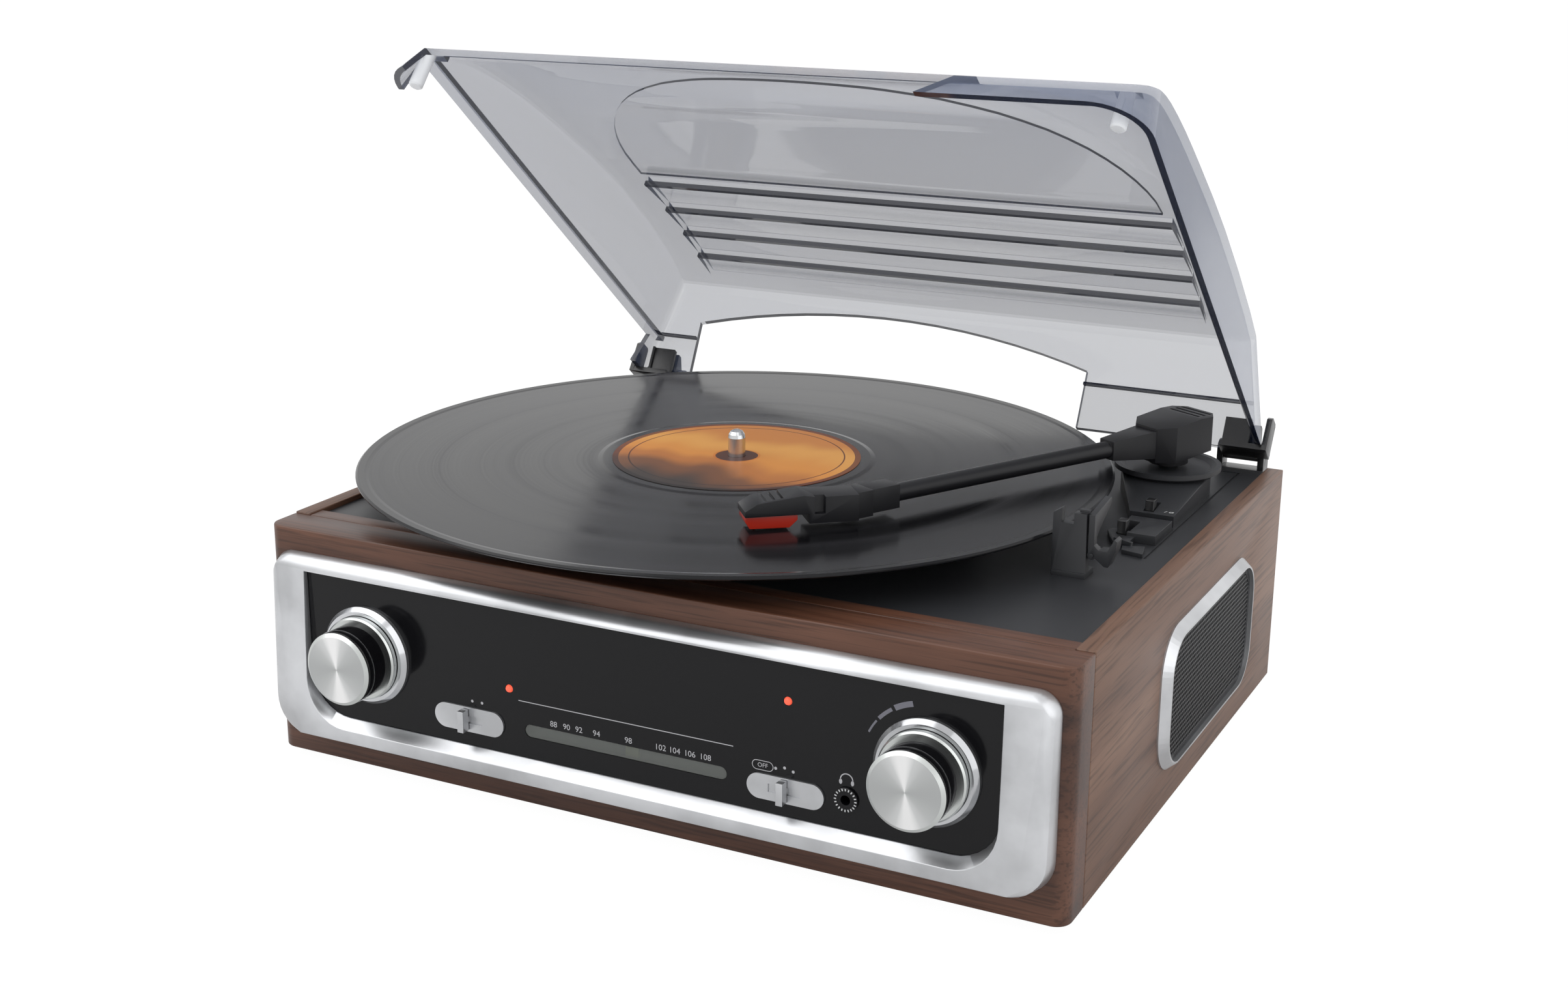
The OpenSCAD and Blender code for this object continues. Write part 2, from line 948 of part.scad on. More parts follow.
module spindle() {
    r = spindle_d/2;
    color(bright_metal) placed()
        translate([spin_x, spin_y, 0])
            rotate_extrude()
                polygon([[0, 72 + gap], [r, 72 + gap], [r, plate_under - 3],
                         [9, plate_under - 3], [9, plate_under], [r, plate_under],
                         [r, 112.6], [r*0.92, 114], [r*0.7, 115.2], [r*0.38, 115.8],
                         [0, 116]]);
}

module record_disc() {
    r = record_d/2;
    color(vinyl) placed()
        translate([spin_x, spin_y, 0])
            rotate_extrude()
                polygon([[hole_r, mat_top], [r - 0.8, mat_top], [r, mat_top + 0.6],
                         [r, record_top - 0.6], [r - 0.8, record_top],
                         [r - 3.5, record_top - 0.1], [r - 5, record_top - 0.3],
                         [56, record_top - 0.3], [54, record_top],
                         [hole_r, record_top]]);
}

module record_label() {
    color("#c8741e") placed()
        translate([spin_x, spin_y, record_top])
            difference() {
                cylinder(r = label_d/2, h = label_t);
                translate([0, 0, -1])
                    cylinder(r = hole_r, h = 3);
            }
}

// ---- Tonearm ----

// Puts a piece drawn along +X from the pivot onto the arm's direction
module on_arm() {
    translate([pivot_x, pivot_y, 0])
        rotate([0, 0, arm_dir])
            children();
}

module arm_yoke() {
    color("#303134") placed() on_arm() {
        difference() {
            union() {
                post(0, 0, 79, turret_z + gap + 0.1, 4);
                post(0, 0, turret_z + gap, 103.4, 8);
                for (s = [-1, 1])
                    translate([0, s*6.2, 0])
                        block([-5, -1.3, 103.3], [5, 1.3, 115.8]);
            }
            translate([0, 20, lift_z])
                rotate([90, 0, 0])
                    cylinder(r = 1.5 + fit, h = 40);
        }
    }
}

// Plan of the arm's rear housing, with cut corners
module housing_plan(inset) {
    f = 13.5 - inset;
    b = 17 - inset;
    w = 11.5 - inset;
    polygon([[f, -6 + inset/2], [f, 6 - inset/2], [f - 6, w], [-b + 4.5, w],
             [-b, w - 4.5], [-b, -w + 4.5], [-b + 4.5, -w], [f - 6, -w]]);
}

module arm_housing() {
    top = 120.5;
    color(matt_black) placed() on_arm() {
        difference() {
            // Roof sloping down to the front, underside rising to the rear
            intersection() {
                translate([0, 0, 103])
                    linear_extrude(top - 103)
                        housing_plan(0);
                along_y(-20, 20)
                    polygon([[-18, 107.1], [8, 103.9], [14, 103.9], [14, 117.9],
                             [-6, top + eps], [-18, top + eps]]);
            }
            translate([0, 0, 100])
                linear_extrude(17)
                    housing_plan(1.8);
            // Finger grooves across the roof
            for (a = [-7.5, -10.7, -13.9])
                along_y(-8, 8)
                    polygon([[a, top - 0.9], [a - 1.2, top - 0.9], [a - 1.2, top + 1],
                             [a, top + 1]]);
        }
        // Pin that the arm lifts on
        translate([0, 10, lift_z])
            rotate([90, 0, 0])
                cylinder(r = 1.5, h = 20);
    }
}

module arm_tube() {
    color(matt_black) placed() on_arm() {
        // Square neck that tapers out of the housing
        intersection() {
            along_y(-8, 8)
                polygon([[13.5, 105.6], [13.5, 117], [35, 115.4], [35, 107.7]]);
            translate([0, 0, 100])
                linear_extrude(20)
                    polygon([[13.5, -6], [13.5, 6], [35, 3.9], [35, -3.9]]);
        }
        translate([34, 0, tube_z])
            rotate([0, 90, 0])
                cylinder(d = tube_d, h = 115);
        block([143, -4.5, 107], [156, 4.5, 116]);
    }
}

// Puts a piece on the turned headshell, drawn along +X from its bend
module on_head() {
    on_arm()
        translate([head_a, 0.5, 0])
            rotate([0, 0, head_turn])
                children();
}

module headshell() {
    color("#151516") placed() {
        on_arm()
            block([156, -5.5, 106.4], [163, 5.5, 116.2]);
        on_head() {
            difference() {
                along_y(-6.5, 6.5)
                    polygon([[-3.4, 106.6], [15, 106.6], [15, 110.2], [38.5, 110.2],
                             [38.5, 112.4], [34, 115], [17, 117.2], [12, 116.4],
                             [-3.4, 116.4]]);
                for (a = [24, 27, 30])
                    along_y(-8, 4.5)
                        polygon([[a, 115.2], [a + 1, 115.2], [a + 1, 119], [a, 119]]);
                block([9, 3.5, 110], [13, 8, 120]);
            }
        }
    }
}

module stylus_cartridge() {
    color("#d03018") placed() on_head() {
        along_y(-5.2, 5.2)
            polygon([[19, 110.2], [38, 110.2], [38.2, 108.4], [36.6, 105.6],
                     [22, 105.3], [19, 108]]);
        translate([34, 0, record_top])
            cylinder(r1 = 0.3, r2 = 0.8, h = 1);
    }
}

// ---- Lid ----

// Puts a piece drawn about the hinge line, closed, into its open place
module on_lid() {
    translate([0, hinge_y, hinge_z])
        rotate([-lid_open, 0, 0])
            children();
}

// Outer face of the rear wall at a height above the hinge line
function wall_out(z) = lid_rear + (z - rim_z)*rear_lean;

// Side view of the lid from the front rim over the crown to the rear rim, as
// distance in front of the hinge line and height above it
lid_side = [[lid_front, rim_z], [256, 7.5], [253, 9.7], [247, 13.8], [241, 17.6],
            [232, 22.3], [222, 26.8], [213, 30], [200, 33.6], [186, 36.8],
            [170, 39.7], [155, 42], [127, 46], [99, 48.6], [66, 49.2], [36, 47.6],
            shoulder, [wall_out(40), 40], [lid_rear, rim_z]];

// Inward normal of the edge between two points of the side view
function inward(p, q) = let (d = (q - p)/norm(q - p)) [-d[1], d[0]];

// Side view set in by a wall; its two ends stay on the line of the rim
function set_in(pts, wall, low) = let (last = len(pts) - 1) [for (i = [0:last])
    let (m = inward(pts[max(i - 1, 0)], pts[max(i, 1)]),
         n = inward(pts[min(i, last - 1)], pts[min(i + 1, last)]))
    i == 0 || i == last ? [pts[i][0] + wall/n[0], low]
        : pts[i] + (m + n)*wall/(1 + m*n)];

module side_view(wall, low) {
    polygon([for (p = set_in(lid_side, wall, low)) [-p[0], p[1]]]);
}

// Level outline of the lid at a height: front corners large, rear corners small
module lid_outline(z, wall) {
    up = z - rim_z;
    half = lid_half - up*side_lean - wall;
    front = lid_front - up*front_lean - wall;
    rear = wall_out(z) + wall;
    hull()
        for (s = [-1, 1]) {
            translate([s*(half - 20 + wall), -front + 20 - wall])
                circle(20 - wall, $fn = 40);
            translate([s*(half - 4 + wall), -rear - 4 + wall])
                circle(4 - wall, $fn = 16);
        }
}

module lid_body(wall, low) {
    intersection() {
        along_x(-lid_half, lid_half)
            side_view(wall, low);
        hull()
            for (z = [low, lid_top])
                translate([0, 0, z])
                    linear_extrude(eps)
                        lid_outline(z, wall);
    }
}

// Height of the crown's outer face at a distance in front of the hinge
function crown_at(f) = lookup(f, lid_side);

louvres = [106.7, 83.7, 63, 44.5, 27.4];
louvre_half = 120.5;
louvre_dip = 2.2;
seam = 0.05;
bumper_x = 141.3;
bumper_f = 246.5;
bumper_r = 2.8;
flange_t = 2.2;
arch_r = 380;
arch_x = [-126, 69.5];
field_half = 119;
field_from = 115;
field_depth = 111;

// Sawtooth plate of the vents, drawn in Y and Z
module louvre_profile() {
    for (k = [0:3]) {
        f = louvres[k];
        b = louvres[k + 1];
        polygon([[-f, crown_at(f) - louvre_dip], [-b, crown_at(b) - seam],
                 [-b, crown_at(b) - lid_t], [-f, crown_at(f) - lid_t - louvre_dip]]);
        polygon([[-f - 0.2, crown_at(f) - seam], [-f + 1.6, crown_at(f) - louvre_dip],
                 [-f + 1.6, crown_at(f) - lid_t - louvre_dip],
                 [-f - 0.2, crown_at(f) - lid_t - louvre_dip]]);
    }
}

// Half oval of the raised field, from its straight rear edge forward
function half_oval(w, d, n) = [for (k = [0:n]) [w*cos(180*k/n), -d*sin(180*k/n)]];

module lid_shell() {
    color(smoke, 0.45) placed() on_lid() {
        difference() {
            lid_body(0, rim_z);
            lid_body(lid_t, rim_z - 2*eps);
            // Left wall and front wall open for the edge of a 12 inch record
            block([-lid_half - 5, -242, rim_z - 1], [-130, -20, cut_z]);
            translate([0, -235, 0])
                rotate([90, 0, 0])
                    linear_extrude(40)
                        polygon([[-141, rim_z - 1], [71, rim_z - 1], [88, cut_z],
                                 [-141, cut_z]]);
            // Arch in the rear wall
            intersection() {
                translate([-32, 5, 36.5 - arch_r])
                    rotate([90, 0, 0])
                        cylinder(r = arch_r, h = 40, $fn = 180);
                block([arch_x[0], -26, rim_z - 1], [arch_x[1], 2, 60]);
            }
            // Vent field taken out of the crown
            block([-louvre_half, gap - louvres[0], 30], [louvre_half, -gap - louvres[4], 60]);
        }
        intersection() {
            along_x(-louvre_half - 0.5, louvre_half + 0.5)
                louvre_profile();
            lid_body(0, rim_z);
        }
        // Flange along the cut edges, a rib each side of the arch, and a web in each
        // front corner for its bumper
        intersection() {
            lid_body(1, rim_z);
            union() {
                block([-lid_half, -246, cut_z], [-142, -14, cut_z + flange_t]);
                block([-146, -lid_front, cut_z], [89, -244.5, cut_z + flange_t]);
                block([arch_x[1], -13.2, 15.9], [146, -5, 17.1]);
                block([-146, -13.2, 15.9], [arch_x[0], -5, 17.1]);
                for (s = [-1, 1])
                    translate([s*(bumper_x + 2), -bumper_f - 2, cut_z + flange_t/2])
                        cube([15, 15, flange_t], center = true);
            }
        }
        // Raised half-oval field ahead of the vents, under the curved crown
        intersection() {
            along_x(-field_half, field_half)
                difference() {
                    side_view(lid_t - 0.4, rim_z);
                    side_view(lid_t + 1, rim_z - 1);
                }
            translate([0, -field_from, cut_z + 4])
                linear_extrude(40)
                    polygon(half_oval(field_half, field_depth, 36));
        }
    }
}

module lid_bumpers() {
    color("#e8eaee") placed() on_lid()
        for (s = [-1, 1])
            intersection() {
                lid_body(lid_t + seam, rim_z - 2);
                translate([s*bumper_x, -bumper_f, 0])
                    rotate_extrude()
                        polygon([[0, rim_z - 1.2], [bumper_r - 0.6, rim_z - 1.2],
                                 [bumper_r, rim_z - 0.6], [bumper_r, cut_z],
                                 [0, cut_z]]);
            }
}

ear_in = 132.2;
ear_out = 152.4;
ear_t = 2.6;

module hinge_bases() {
    color(gloss_black) placed()
        for (s = [-1, 1])
            mirror([s < 0 ? 1 : 0, 0, 0])
                difference() {
                    union() {
                        block([ear_in, back_y, 62], [ear_out, back_y + 3, 86]);
                        block([ear_in, back_y, 80], [ear_out, 142, 88]);
                        for (x = [ear_in, ear_out - ear_t]) {
                            block([x, 135, 87], [x + ear_t, 143, hinge_z]);
                            translate([x, hinge_y, hinge_z])
                                rotate([0, 90, 0])
                                    cylinder(r = 4, h = ear_t);
                        }
                    }
                    translate([ear_in - 1, hinge_y, hinge_z])
                        rotate([0, 90, 0])
                            cylinder(r = 1.5, h = ear_out - ear_in + 2);
                }
}

module hinge_pins() {
    color(bright_metal) placed()
        for (s = [-1, 1])
            mirror([s < 0 ? 1 : 0, 0, 0])
                translate([ear_in, hinge_y, hinge_z])
                    rotate([0, 90, 0])
                        cylinder(r = 1.5, h = ear_out - ear_in);
}

// Inner face of the lid's rear wall at a height above the hinge line
function wall_in(z) = wall_out(z) + lid_t*norm([1, rear_lean]);

jaw_top = 9;
jaw_t = 2.6;
jaw_x = ear_in + ear_t + gap;
seat = 0.03;

// Jaw inside the rear wall, drawn in Y and Z
module inner_jaw(forward) {
    polygon([[-wall_in(rim_z) - seat - forward, -4.9],
             [-wall_in(jaw_top) - seat - forward, jaw_top],
             [-wall_in(jaw_top) - jaw_t - forward, jaw_top],
             [-wall_in(rim_z) - jaw_t - forward, -4.9]]);
}

module hinge_clips() {
    color(gloss_black) placed() on_lid()
        for (s = [-1, 1])
            mirror([s < 0 ? 1 : 0, 0, 0])
                difference() {
                    union() {
                        // Knuckle, foot under the rim and jaw outside the wall
                        along_x(jaw_x, ear_out - ear_t - gap) {
                            circle(4.2);
                            polygon([[0, -4.2], [-13.4, -5], [-13.4, rim_z - seat],
                                     [-4, rim_z - seat], [0, 0]]);
                            polygon([[0, 0], [seat - wall_out(0), 0],
                                     [seat - wall_out(jaw_top), jaw_top],
                                     [jaw_t - wall_out(jaw_top), jaw_top], [1, 3]]);
                        }
                        along_x(jaw_x, 145.6)
                            inner_jaw(0);
                        along_x(145.5, 146.7)
                            inner_jaw(1.2);
                        // Foot going on under the side wall to the ear outside it
                        block([jaw_x, -13.4, -5], [155.2, -4.4, rim_z - seat]);
                        along_x(153, 155.2)
                            polygon([[-4.4, -5], [-13.4, -5], [-14.6, 9], [-13, 10.4],
                                     [-7.4, 10.4], [-6.4, 9.4]]);
                    }
                    translate([ear_in - 1, 0, 0])
                        rotate([0, 90, 0])
                            cylinder(r = 1.5 + fit, h = 30);
                }
}

// ---- Rear connections ----

module rear_sockets() {
    color("#3a3b3d") placed() {
        for (x = line_x)
            turned_y(x, socket_z, back_y)
                polygon([[1.6, -9], [4.15, -9], [4.15, -1.2], [6.4, -1.2], [6.4, 0],
                         [4.2, 0], [4.2, 8], [0, 8], [0, 0.5], [1.6, 0.5]]);
        turned_y(power_x, socket_z, back_y)
            polygon([[2.75, -2], [6.6, -2], [6.6, 0], [5.2, 0], [5.2, 12], [0, 12],
                     [0, 8], [2.75, 8]]);
    }
}

front_board();
front_rail();
side_board_left();
side_board_right();
back_panel();
base_panel();
feet();
deck_plate();
switch_console();
arm_plinth();
arm_rest();
bezel();
control_panel();
dial_window();
tuning_ring();
volume_ring();
switch_plates();
indicator_lamps();
headphone_jack();
main_board();
tuner_gang();
volume_pot();
slide_switches();
dial_rail();
speaker_ring_left();
speaker_ring_right();
speaker_grille_left();
speaker_grille_right();
speaker_driver_left();
speaker_driver_right();
platter_bearing();
motor();
drive_belt();
rear_sockets();
hinge_bases();
hinge_pins();
platter();
platter_mat();
spindle();
record_disc();
record_label();
motor_pulley();
arm_yoke();
arm_housing();
arm_tube();
headshell();
stylus_cartridge();
arm_clip();
speed_slide();
stop_slide();
tuning_knob();
tuning_cap();
dial_pointer();
volume_knob();
volume_cap();
band_slide();
source_slide();
lid_shell();
lid_bumpers();
hinge_clips();
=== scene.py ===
# %% [markdown]
# # Stereo music centre
# The object is a wood-cased record player with a radio panel, side speakers and a smoked
# lid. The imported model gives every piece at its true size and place. This notebook adds the
# looks: finishes for each material, and finer meshes where the camera comes close.

# %% Load the frame
import math

import bmesh
import bpy
from mathutils import Matrix, Vector


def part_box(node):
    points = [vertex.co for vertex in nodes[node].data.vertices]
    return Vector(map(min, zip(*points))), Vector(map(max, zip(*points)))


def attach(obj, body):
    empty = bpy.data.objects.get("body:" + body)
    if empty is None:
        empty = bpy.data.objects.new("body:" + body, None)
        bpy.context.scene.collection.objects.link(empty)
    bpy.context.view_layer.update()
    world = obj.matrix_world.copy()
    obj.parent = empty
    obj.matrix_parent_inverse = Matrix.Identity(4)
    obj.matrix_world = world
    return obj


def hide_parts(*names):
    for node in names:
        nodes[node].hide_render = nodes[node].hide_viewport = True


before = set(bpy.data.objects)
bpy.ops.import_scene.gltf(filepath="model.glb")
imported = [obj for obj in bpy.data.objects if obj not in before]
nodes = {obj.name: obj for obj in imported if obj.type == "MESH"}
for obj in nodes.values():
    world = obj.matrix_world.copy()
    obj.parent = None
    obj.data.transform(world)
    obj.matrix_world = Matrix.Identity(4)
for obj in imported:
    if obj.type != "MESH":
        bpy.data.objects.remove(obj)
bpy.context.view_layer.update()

scene = bpy.context.scene

# %% [markdown]
# Sizes on the object are easiest to think of in millimetres from the cabinet itself: x from
# its middle, y from its middle depth and z from the underside of the wood. One helper turns
# such a point into the frame's metres, and it takes its zero from the front board's box.

# %% Places in the cabinet's own millimetres
MM = 0.001
board_low, board_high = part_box("front_board")
side_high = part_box("side_board_right")[1]
zero = Vector(((board_low.x + board_high.x) / 2, (board_low.y + side_high.y) / 2, board_low.z))


def at(x, y, z):
    """A point given in millimetres from the cabinet's middle and underside."""
    return zero + Vector((x, y, z)) * MM


print("cabinet zero", [round(v, 4) for v in zero])

# %% [markdown]
# The camera stands where the photographer stood: in front, to the right and a little above.
# Its place and lens came from lining up the rim of the record and the edges of the wood.

# %% Camera
IMAGE_W = 2408
SENSOR_MM = 36.0
FOCAL_PX = 3177.5
CAMERA_AT = at(353.7, -711.1, 328.1)
AZIMUTH, ELEVATION, ROLL = (math.radians(a) for a in (26.9, 16.56, 0.38))

forward = Vector((-math.sin(AZIMUTH) * math.cos(ELEVATION),
                  math.cos(AZIMUTH) * math.cos(ELEVATION), -math.sin(ELEVATION)))
right = Vector((math.cos(AZIMUTH), math.sin(AZIMUTH), 0))
up = right.cross(forward)
right, up = (right * math.cos(ROLL) + up * math.sin(ROLL),
             up * math.cos(ROLL) - right * math.sin(ROLL))
lens = bpy.data.cameras.new("camera")
lens.sensor_width = SENSOR_MM
lens.lens = FOCAL_PX * SENSOR_MM / IMAGE_W
lens.clip_start = 0.01
camera = bpy.data.objects.new("camera", lens)
scene.collection.objects.link(camera)
turn = Matrix((right, up, -forward)).transposed().to_4x4()
camera.matrix_world = Matrix.Translation(CAMERA_AT) @ turn
scene.camera = camera
print("lens", round(lens.lens, 2), "mm")

# %% [markdown]
# Each finish is a procedural material. The helpers below add nodes to a material in one line
# each, so that a finish reads as a short recipe: where the pattern comes from, how it is
# stretched, and which socket it drives. All patterns read Object coordinates in metres. The
# first helpers make and join nodes, and they serve for the sky as well.

# %% Material helpers


def finish_of(name, colour, rough, metal=0.0, **sockets):
    """A new material with its main numbers set on the shader's own sockets."""
    mat = bpy.data.materials.new(name)
    mat.use_nodes = True
    shader = mat.node_tree.nodes["Principled BSDF"]
    shader.inputs["Base Color"].default_value = (*colour, 1)
    shader.inputs["Roughness"].default_value = rough
    shader.inputs["Metallic"].default_value = metal
    for key, value in sockets.items():
        shader.inputs[key.replace("_", " ")].default_value = value
    mat.diffuse_color = (*colour, 1)
    return mat


def add(mat, kind, links=None, **values):
    """Adds a node, sets its values and feeds its inputs from (node, output) pairs."""
    node = mat.node_tree.nodes.new("ShaderNode" + kind)
    for key, value in values.items():
        if hasattr(node, key):
            setattr(node, key, value)
        else:
            node.inputs[key.replace("_", " ")].default_value = value
    for key, source in (links or {}).items():
        feed(mat, source, node, key)
    return node


def feed(mat, source, node, key):
    """Joins a node's output, by default its first, to an input of another node."""
    out, output = source if isinstance(source, tuple) else (source, 0)
    mat.node_tree.links.new(out.outputs[output], node.inputs[key])


def shader_of(mat):
    """The main shader of a material."""
    return mat.node_tree.nodes["Principled BSDF"]


def maths(mat, operation, *terms):
    """A sum, product or other function of terms, each one a number or a node's output."""
    node = add(mat, "Math", operation=operation)
    for key, term in enumerate(terms):
        if isinstance(term, (int, float)):
            node.inputs[key].default_value = term
        else:
            feed(mat, term, node, key)
    return node


# %% [markdown]
# A finish needs patterns. These helpers stretch the object's coordinates, measure a distance
# on it, make noise, and turn a pattern into a colour, a roughness or a bump.

# %% Pattern helpers


def stretched(mat, scale, place=(0, 0, 0)):
    """Object coordinates, moved by place and stretched by scale."""
    coords = add(mat, "TexCoord")
    shift = add(mat, "VectorMath", {0: (coords, "Object")}, operation="SUBTRACT")
    shift.inputs[1].default_value = place
    return add(mat, "Mapping", {"Vector": shift}, Scale=scale)


def distance(mat, keep, place):
    """The distance from a place along the axes that keep sets to 1, as a node's output."""
    reach = add(mat, "VectorMath", {0: stretched(mat, keep, place)}, operation="LENGTH")
    return reach, "Value"


def noise(mat, scale, stretch=(1, 1, 1), **values):
    """Noise of a scale on the object, stretched along its axes."""
    return add(mat, "TexNoise", {"Vector": stretched(mat, stretch)}, Scale=scale, **values)


def ramp(mat, source, stops):
    """A colour ramp through (position, colour) stops."""
    node = add(mat, "ValToRGB", {"Fac": source})
    band = node.color_ramp
    while len(band.elements) < len(stops):
        band.elements.new(0.5)
    for element, (place, colour) in zip(band.elements, stops):
        element.position = place
        element.color = (*colour, 1)
    return node


def roughen(mat, source, low, high):
    """Drives the roughness between two numbers by a pattern."""
    spread = add(mat, "MapRange", {"Value": source}, To_Min=low, To_Max=high)
    feed(mat, spread, shader_of(mat), "Roughness")


def bump(mat, source, strength, height):
    """Raises the surface by a pattern, height in metres."""
    node = add(mat, "Bump", {"Height": source}, Strength=strength, Distance=height)
    feed(mat, node, shader_of(mat), "Normal")


# %% [markdown]
# The cabinet is board covered with a dark walnut print. Its figure is long streaks with short
# dark pores in them, so two noises are stretched along the grain: a coarse one that bends a
# little for the streaks, and a very fine one for the pores.

# %% Wood
STREAK_ACROSS, STREAK_ALONG = 22.0, 1.6
PORE_ACROSS, PORE_ALONG = 900.0, 28.0


def walnut(name, along, stops, rough=0.38):
    """Walnut with its grain along one axis; stops are the ramp from dark to light."""
    mat = finish_of(name, stops[1][1], rough, Coat_Weight=0.12, Coat_Roughness=0.28,
                    Specular_IOR_Level=0.35)
    streak_scale = [STREAK_ACROSS] * 3
    streak_scale[along] = STREAK_ALONG
    pore_scale = [PORE_ACROSS] * 3
    pore_scale[along] = PORE_ALONG
    streaks = noise(mat, 1.4, streak_scale, Detail=9.0, Roughness=0.62, Distortion=0.9)
    pores = noise(mat, 1.0, pore_scale, Detail=3.0)
    tone = ramp(mat, streaks, stops)
    dark = ramp(mat, pores, [(0.36, (0.35, 0.33, 0.32)), (0.5, (1, 1, 1))])
    mix = add(mat, "MixRGB", {1: tone, 2: dark}, blend_type="MULTIPLY", Fac=0.65)
    feed(mat, mix, shader_of(mat), "Base Color")
    roughen(mat, streaks, rough - 0.06, rough + 0.12)
    bump(mat, pores, 0.25, 0.0001)
    return mat


front_wood = walnut("walnut_front", 0, [(0.32, (0.032, 0.012, 0.007)),
                                        (0.5, (0.075, 0.030, 0.017)),
                                        (0.68, (0.135, 0.058, 0.034))])
side_wood = walnut("walnut_side", 1, [(0.30, (0.105, 0.050, 0.030)),
                                      (0.5, (0.170, 0.092, 0.060)),
                                      (0.70, (0.245, 0.145, 0.100))], 0.45)
board_black = walnut("black_board", 0, [(0.3, (0.012, 0.011, 0.010)),
                                        (0.5, (0.020, 0.018, 0.017)),
                                        (0.7, (0.030, 0.027, 0.025))], 0.6)
print("boards:", front_wood.name, side_wood.name, board_black.name)

# %% [markdown]
# The deck, the arm and the switches are injection-moulded plastic with a fine spark-eroded
# grain. A small bump of fine noise breaks up the highlight, which is what makes such
# plastic look matt and not painted. The panel and knobs are the same plastic, polished.

# %% Plastics


def plastic(name, colour, rough, grain=2600.0, depth=0.00004, strength=0.25):
    """Moulded plastic with an even fine grain and a little unevenness in its gloss."""
    mat = finish_of(name, colour, rough)
    fine = noise(mat, grain, Detail=2.0, Roughness=0.5)
    broad = noise(mat, 38.0, Detail=4.0)
    roughen(mat, broad, rough - 0.05, rough + 0.07)
    bump(mat, fine, strength, depth)
    return mat


deck_black = plastic("deck_black", (0.022, 0.023, 0.026), 0.42)
arm_black = plastic("arm_black", (0.010, 0.010, 0.012), 0.36)
shader_of(arm_black).inputs["Specular IOR Level"].default_value = 0.3
gloss_black = plastic("gloss_black", (0.005, 0.005, 0.006), 0.09, 400.0, 0.00001, 0.05)
shader_of(gloss_black).inputs["Specular IOR Level"].default_value = 0.24
clip_black = plastic("clip_black", (0.012, 0.012, 0.013), 0.24)
rubber_black = plastic("rubber_black", (0.020, 0.020, 0.020), 0.75)
red_plastic = plastic("red_plastic", (0.46, 0.024, 0.010), 0.22, 500.0, 0.00002, 0.1)
pale_rubber = plastic("pale_rubber", (0.80, 0.82, 0.85), 0.35)
board_green = plastic("board_green", (0.03, 0.12, 0.05), 0.35)
print("finishes so far:", len(bpy.data.materials))

# %% [markdown]
# The bezel and speaker rings are plastic with a sprayed silver lacquer. Metal flakes give it
# a satin sheen with a faint mottle. The knob faces are turned aluminium, whose fine rings
# stretch each reflection into wedges. The shader's anisotropy does that with a tangent that
# runs round the knob. An even white room gives it little to stretch, so bright and dark
# wedges of painted reflection are also put in the face's colour, by the angle about the
# knob. The face's rim, outside a set radius, has one even tone.

# %% Metals


def lacquer(name, colour, rough):
    """Silver lacquer with a fine flake and a faint cloudiness."""
    mat = finish_of(name, colour, rough, 0.86, Coat_Weight=0.2, Coat_Roughness=0.15)
    flake = noise(mat, 3800.0, Detail=1.0)
    cloud = noise(mat, 26.0, Detail=5.0)
    dull = tuple(0.72 * part for part in colour)
    feed(mat, ramp(mat, cloud, [(0.38, dull), (0.62, colour)]), shader_of(mat), "Base Color")
    roughen(mat, cloud, rough - 0.04, rough + 0.06)
    bump(mat, flake, 0.12, 0.00002)
    return mat


def steel(name, colour, rough):
    """Plain drawn metal with fine scratches."""
    mat = finish_of(name, colour, rough, 1.0)
    scratch = noise(mat, 3.0, (60, 60, 900), Detail=4.0)
    roughen(mat, scratch, rough - 0.06, rough + 0.1)
    return mat


def rings_about(mat, x, z, pitch):
    """A sine of the distance from an axis along Y, for turned rings."""
    around = distance(mat, (1, 0, 1), at(x, 0, z))
    return maths(mat, "SINE", maths(mat, "MULTIPLY", around, math.tau / (pitch * MM)))


# Where one painted bright wedge of reflection lies, in degrees from +X towards +Z; the other is
# opposite
PAINTED_WEDGE_AT = 97.0
FACE_R = 12.7
RING_PITCH = 0.42


def turned_metal_and_painted_wedges(name, x, z):
    """Turned aluminium with fine rings about a knob's axis, and painted reflection in bright and
    dark wedges.
    """
    mat = finish_of(name, (0.60, 0.61, 0.62), 0.24, 1.0, Anisotropic=0.75)
    split = add(mat, "SeparateXYZ", {0: stretched(mat, (1, 1, 1), at(x, 0, z))})
    angle = maths(mat, "ARCTAN2", (split, "Z"), (split, "X"))
    twice = maths(mat, "MULTIPLY_ADD", angle, 2, -2 * math.radians(PAINTED_WEDGE_AT))
    painted_wedge = add(mat, "MapRange", {"Value": maths(mat, "COSINE", twice)}, From_Min=-1, From_Max=1)
    # This tone is painted reflection: dark and bright wedges by the angle, up to a near-white
    # glint
    tone = ramp(mat, painted_wedge, [(0.0, (0.42, 0.43, 0.43)), (0.55, (0.50, 0.51, 0.51)),
                             (0.86, (0.62, 0.63, 0.63)), (0.985, (0.86, 0.86, 0.86))])
    rim = maths(mat, "GREATER_THAN", distance(mat, (1, 0, 1), at(x, 0, z)), FACE_R * MM)
    face = add(mat, "MixRGB", {0: rim, 1: tone}, blend_type="MIX")
    face.inputs[2].default_value = (0.55, 0.57, 0.56, 1)
    feed(mat, face, shader_of(mat), "Base Color")
    around = add(mat, "Tangent", direction_type="RADIAL", axis="Y")
    feed(mat, around, shader_of(mat), "Tangent")
    bump(mat, rings_about(mat, x, z, RING_PITCH), 0.12, 0.00001)
    return mat


silver = lacquer("silver_lacquer", (0.64, 0.65, 0.67), 0.30)
chrome = lacquer("bright_chrome", (0.62, 0.63, 0.65), 0.12)
bright = steel("bright_metal", (0.62, 0.63, 0.64), 0.18)
can_metal = steel("can_metal", (0.55, 0.56, 0.58), 0.35)
brass = steel("brass", (0.70, 0.52, 0.22), 0.25)
grille_metal = steel("grille_metal", (0.055, 0.055, 0.058), 0.42)
print("finishes so far:", len(bpy.data.materials))

